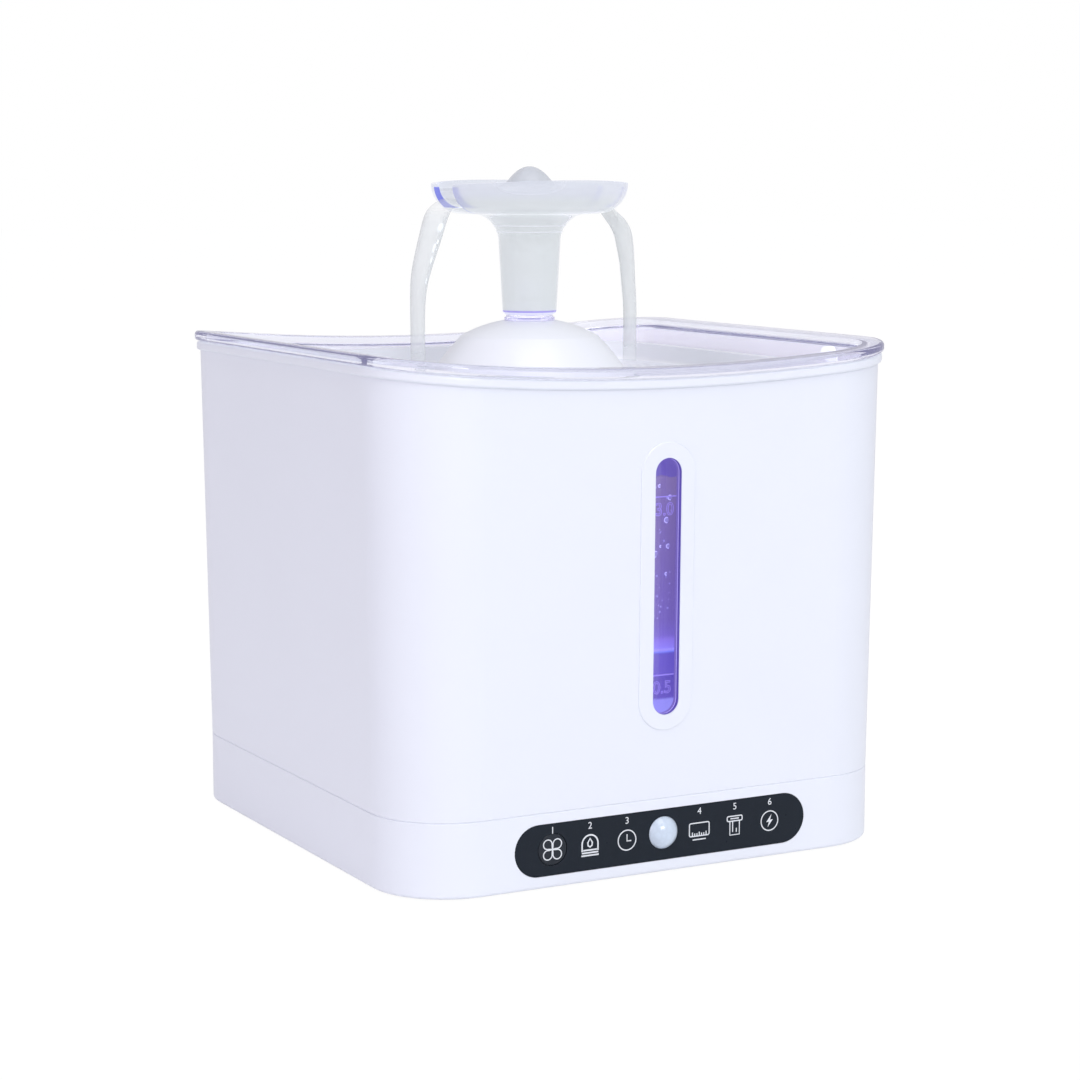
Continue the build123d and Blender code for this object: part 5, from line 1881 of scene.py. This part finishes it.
@dataclass
class LevelWindow:
    """What the slot of the level window shows: painted violet light, bubbles and their painted glints.

    A bubble is given by its X, its height and its radius, in millimetres.
    """

    palette: Palette
    half_width: float = 5.0 * MM
    low: float = 54.5 * MM
    high: float = 140.5 * MM
    lining: float = 0.12 * MM
    slot_gap: float = 0.02 * MM
    recess: float = 0.25 * MM
    beside: float = 0.8 * MM
    steps: int = 14
    gleam_from: float = 0.46
    gleam_to: float = 0.54
    large_bubbles: tuple[Point3, ...] = (
        (5.4, 126.2, 0.8), (4.2, 118.7, 0.9), (4.9, 109.9, 0.7), (0.0, 107.5, 0.95),
        (4.3, 100.6, 0.5), (2.0, 110.0, 0.35), (1.3, 130.3, 0.5),
    )
    small_bubbles: int = 34
    bubble_seed: int = 23
    bubble_across: Point2 = (-3.5, 6.0)
    bubble_heights: Point2 = (84.0, 131.0)
    bubble_radii: tuple[float, ...] = (0.2, 0.25, 0.3, 0.4)
    bubble_gap: float = 0.15 * MM
    bubble_flat: float = 0.4
    glint_gap: float = 0.05 * MM
    glint_width: float = 0.3 * MM
    glint_proud: float = 0.1 * MM
    film_low: float = 133.4 * MM
    film_high: float = 143.5 * MM
    film_half: float = 9.0 * MM
    film_gap: float = 0.08 * MM
    film_sag: float = 0.5 * MM
    film_rows: int = 8
    film_columns: int = 10

    def stadium(self, inset: float) -> list[Point2]:
        """Outline of the slot, less an inset, in the XZ plane.

        Args:
            inset: How far inside the slot's own edge.

        Returns:
            The points, in order.
        """
        radius = self.half_width - inset
        points = []
        for turn, z in ((0, self.high - self.half_width), (180, self.low + self.half_width)):
            for step in range(self.steps + 1):
                angle = math.radians(turn + 180 * step / self.steps)
                points.append((radius * math.cos(angle), z + radius * math.sin(angle)))
        return points

    def shell_face(self, x: float, z: float, outside: bool) -> float:
        """Y of the housing's wall beside the slot.

        Args:
            x: The place.
            z: The place.
            outside: Whether the outer face is wanted.

        Returns:
            The Y coordinate.
        """
        middle = min(max(z, self.low + self.half_width), self.high - self.half_width)
        away = Vector((x, z - middle)).normalized() * (self.half_width + self.beside)
        return front_wall("upper_shell", away.x, middle + away.y, outside)

    def sleeve(self, name: str, start: float, end: float) -> bpy.types.Object:
        """A thin sheet of painted light lining the slot's side over part of its depth.

        Args:
            name: The piece's name.
            start: Share of the depth where it begins, 0 at the front.
            end: Share of the depth where it ends.

        Returns:
            The piece.
        """
        rings = []
        for inset, share in (
            (self.slot_gap, start), (self.slot_gap, end), (self.lining, end), (self.lining, start)
        ):
            ring = []
            for x, z in self.stadium(inset):
                front = self.shell_face(x, z, True) + self.recess
                back = self.shell_face(x, z, False)
                ring.append((x, front + (back - front) * share, z))
            rings.append(ring)
        return loft(name, rings + rings[:1], ends=False)

    def bubble(self, name: str, x: float, z: float, radius: float) -> bpy.types.Object:
        """One air bubble flattened against the inside of the tank's front wall.

        Args:
            name: The piece's name.
            x: Its place.
            z: Its place.
            radius: Its radius.

        Returns:
            The piece.
        """
        middle = front_wall("water_tank", x, z) + self.bubble_gap
        rings = [
            [(x + radius * u, middle + radius * self.bubble_flat * w, z + radius * v) for u, v, w in ring]
            for ring in unit_ball(8, 12)
        ]
        return loft(name, rings)

    def glint(self, name: str, x: float, z: float, radius: float) -> bpy.types.Object:
        """A painted highlight on the edge of one large bubble.

        Args:
            name: The piece's name.
            x: The bubble's place, in millimetres.
            z: Its place.
            radius: Its radius.

        Returns:
            The piece.
        """
        bow = [(px * MM, pz * MM) for px, pz in arc(x, z, radius, 60, 290)]
        piece = stroke_mesh(name, [(bow, False)], self.glint_width, self.glint_proud)
        piece.location = (0, front_wall("water_tank", x * MM, z * MM) + self.glint_gap, 0)
        return piece

    def build(self) -> list[bpy.types.Object]:
        """Makes the painted violet reveals, the bubbles with their painted glints and the painted violet
        sheet.

        Returns:
            The pieces.
        """
        dress, finishes = self.palette.dress, self.palette
        # painted light: violet sheets on the slot's sides and a painted highlight line between them
        sleeves = (
            ("slot_reveal_front", 0.0, self.gleam_from, finishes.reveal),
            ("slot_gleam", self.gleam_from, self.gleam_to, finishes.reveal_gleam),
            ("slot_reveal_back", self.gleam_to, 1.0, finishes.reveal_inner),
        )
        pieces = [
            dress(self.sleeve(name, start, end), finish, Body.BASE)
            for name, start, end, finish in sleeves
        ]
        dice = random.Random(self.bubble_seed)
        spots = list(self.large_bubbles)
        for _ in range(self.small_bubbles):
            x, z = dice.uniform(*self.bubble_across), dice.uniform(*self.bubble_heights)
            spots.append((x, z, dice.choice(self.bubble_radii)))
        for index, (x, z, radius) in enumerate(spots):
            piece = self.bubble(f"bubble_{index}", x * MM, z * MM, radius * MM)
            pieces.append(dress(piece, finishes.small_bubble, Body.TANK))
        for index, spot in enumerate(self.large_bubbles):
            piece = self.glint(f"bubble_glint_{index}", *spot)
            pieces.append(dress(piece, finishes.bubble_glint, Body.TANK))
        pieces.append(dress(self.wet_wall(), finishes.wet_film, Body.TANK))
        return pieces

    def wet_wall(self) -> bpy.types.Object:
        """A sheet of painted violet light on the tank's front wall above the water.

        Returns:
            The piece.
        """
        rows, columns = self.film_rows, self.film_columns
        points = []
        for row in range(rows + 1):
            for column in range(columns + 1):
                x = self.film_half * (2 * column / columns - 1)
                sag = self.film_sag * math.sin(column * 1.3) if row == 0 else 0.0
                z = self.film_low + (self.film_high - self.film_low) * row / rows + sag
                points.append((x, front_wall("water_tank", x, z) + self.film_gap, z))
        return add_mesh("wet_wall", points, quads(rows + 1, columns + 1, closed=False))


@dataclass
class LevelMarks:
    """Moulded level lines and plain numbers on the front wall of the tank."""

    palette: Palette
    high_line: float = 126.8 * MM
    low_line: float = 66.6 * MM
    width: float = 9.0 * MM
    offset: float = 2.4 * MM
    line: float = 0.45 * MM
    proud: float = 0.3 * MM
    number_height: float = 4.2 * MM
    number_outline: float = 0.24 * MM
    number_drop: float = 4.4 * MM

    def build(self) -> list[bpy.types.Object]:
        """Makes the lines and numbers.

        Returns:
            The pieces.
        """
        pieces = []
        half = self.width / 2
        for name, z, number in (("high", self.high_line, "3.0"), ("low", self.low_line, "0.5")):
            wall = front_wall("water_tank", 0, z, outside=True)
            mark = stroke_mesh(
                f"level_line_{name}", [([(-half, 0), (half, 0)], False)], self.line, self.proud
            )
            mark.location = (self.offset, wall, z)
            digits = digits_mesh(
                f"level_number_{name}", number, self.number_height, self.proud, self.number_outline
            )
            digits.location = (self.offset, wall, z - self.number_drop)
            # painted light: the lines and numbers glow lilac
            for piece in (mark, digits):
                pieces.append(self.palette.dress(piece, self.palette.relief, Body.TANK))
        return pieces


# ---------------------------------------------------------------------------- studio
@dataclass(frozen=True)
class Softbox:
    """A large square lamp that faces the object."""

    name: str
    place: Point3
    side: float
    watts: float
    colour: Colour

    def hang(self, target: Vector) -> None:
        """Puts the lamp in its place.

        Args:
            target: What it faces.
        """
        data = bpy.data.lights.new(self.name, "AREA")
        data.shape = "RECTANGLE"
        data.size = data.size_y = self.side
        data.energy = self.watts
        data.color = self.colour
        lamp = link_new(self.name, data)
        lamp.location = self.place
        lamp.rotation_euler = (target - Vector(self.place)).to_track_quat("-Z", "Y").to_euler()


@dataclass
class Studio:
    """Pale floor, soft lamps and the camera: a key in front, a lilac fill at the left, a top light."""

    foot_lift: float = 0.6 * MM
    camera_place: Point3 = (-448.22 * MM, -839.12 * MM, 233.27 * MM)
    view: Point3 = (0.47008, 0.87178, -0.13794)
    focal_pixels: float = 2656.38
    image_pixels: float = 1080.0
    sensor: float = 36.0
    sky: Colour = (0.95, 0.94, 1.0)
    sky_strength: float = 0.61
    through: float = 0.6
    mirrored: float = 0.3
    floor_half: float = 9.0
    floor_drop: float = 0.2 * MM
    floor_grey: float = 0.94
    floor_glow: float = 1.03
    floor_white: float = 0.94
    target: Point3 = (0, 0, 0.12)
    lamps: tuple[Softbox, ...] = (
        Softbox("key", (-0.15, -2.6, 1.5), 1.0, 25.5, (0.95, 0.98, 1.0)),
        Softbox("fill", (-2.6, -0.6, 1.0), 1.6, 9.5, (1.0, 0.82, 1.0)),
        Softbox("top", (-0.1, -1.0, 2.4), 1.6, 15.0, (0.98, 0.98, 1.0)),
    )

    def build(self) -> None:
        """Makes the camera, the world, the floor and the lamps."""
        self.camera()
        self.world()
        self.floor()
        for lamp in self.lamps:
            lamp.hang(Vector(self.target))

    def camera(self) -> None:
        """Places the camera at the fitted viewpoint."""
        data = bpy.data.cameras.new("camera")
        data.sensor_fit = "HORIZONTAL"
        data.sensor_width = self.sensor
        data.lens = self.focal_pixels / self.image_pixels * self.sensor
        data.clip_start = 0.05
        data.clip_end = 20.0
        camera = link_new("camera", data)
        camera.location = Vector(self.camera_place) + Vector((0, 0, self.foot_lift))
        camera.rotation_euler = Vector(self.view).to_track_quat("-Z", "Y").to_euler()
        bpy.context.scene.camera = camera

    def world(self) -> None:
        """White to the camera and in part through glass and in reflections, softer as light."""
        shader = Shader("studio", world=True)
        light = shader.node("Background", inputs={"Color": self.sky, "Strength": self.sky_strength})
        backdrop = shader.node("Background", inputs={"Color": WHITE, "Strength": 1.0})
        shader.surface_between(shader.seen_as_white(self.through, self.mirrored), light, backdrop)
        bpy.context.scene.world = shader.made

    def floor(self) -> None:
        """Pale floor that reads white to the camera and keeps a soft shadow."""
        half = self.floor_half
        corners = [(-half, -half, 0), (half, -half, 0), (half, half, 0), (-half, half, 0)]
        floor = add_mesh("floor", corners, [(0, 1, 2, 3)])
        shader = Shader("pale_floor")
        matt = shader.node("BsdfDiffuse", inputs={"Color": (self.floor_grey,) * 3})
        white = shader.node("Emission", inputs={"Color": WHITE, "Strength": self.floor_glow})
        share = shader.seen_as_white(self.through, self.mirrored) * self.floor_white
        shader.surface_between(share, matt, white)
        floor.data.materials.append(shader.made)
        floor.location = (0, 0, -self.floor_drop)


def main() -> None:
    """Builds every sub-assembly in order and reports its pieces."""
    logging.basicConfig(level=logging.INFO, format="%(message)s")
    bpy.context.scene.view_settings.view_transform = "Standard"
    palette = Palette()
    Studio().build()
    PackedPieces(palette).dress()
    for part in (
        ControlStripPrint(palette), TankWater(palette), LevelWindow(palette), LevelMarks(palette),
        TrayWater(palette), PouringWater(palette),
    ):
        for piece in part.build():
            log.info("piece %s of %s", piece.name, type(part).__name__)


if __name__ == "__main__":
    main()
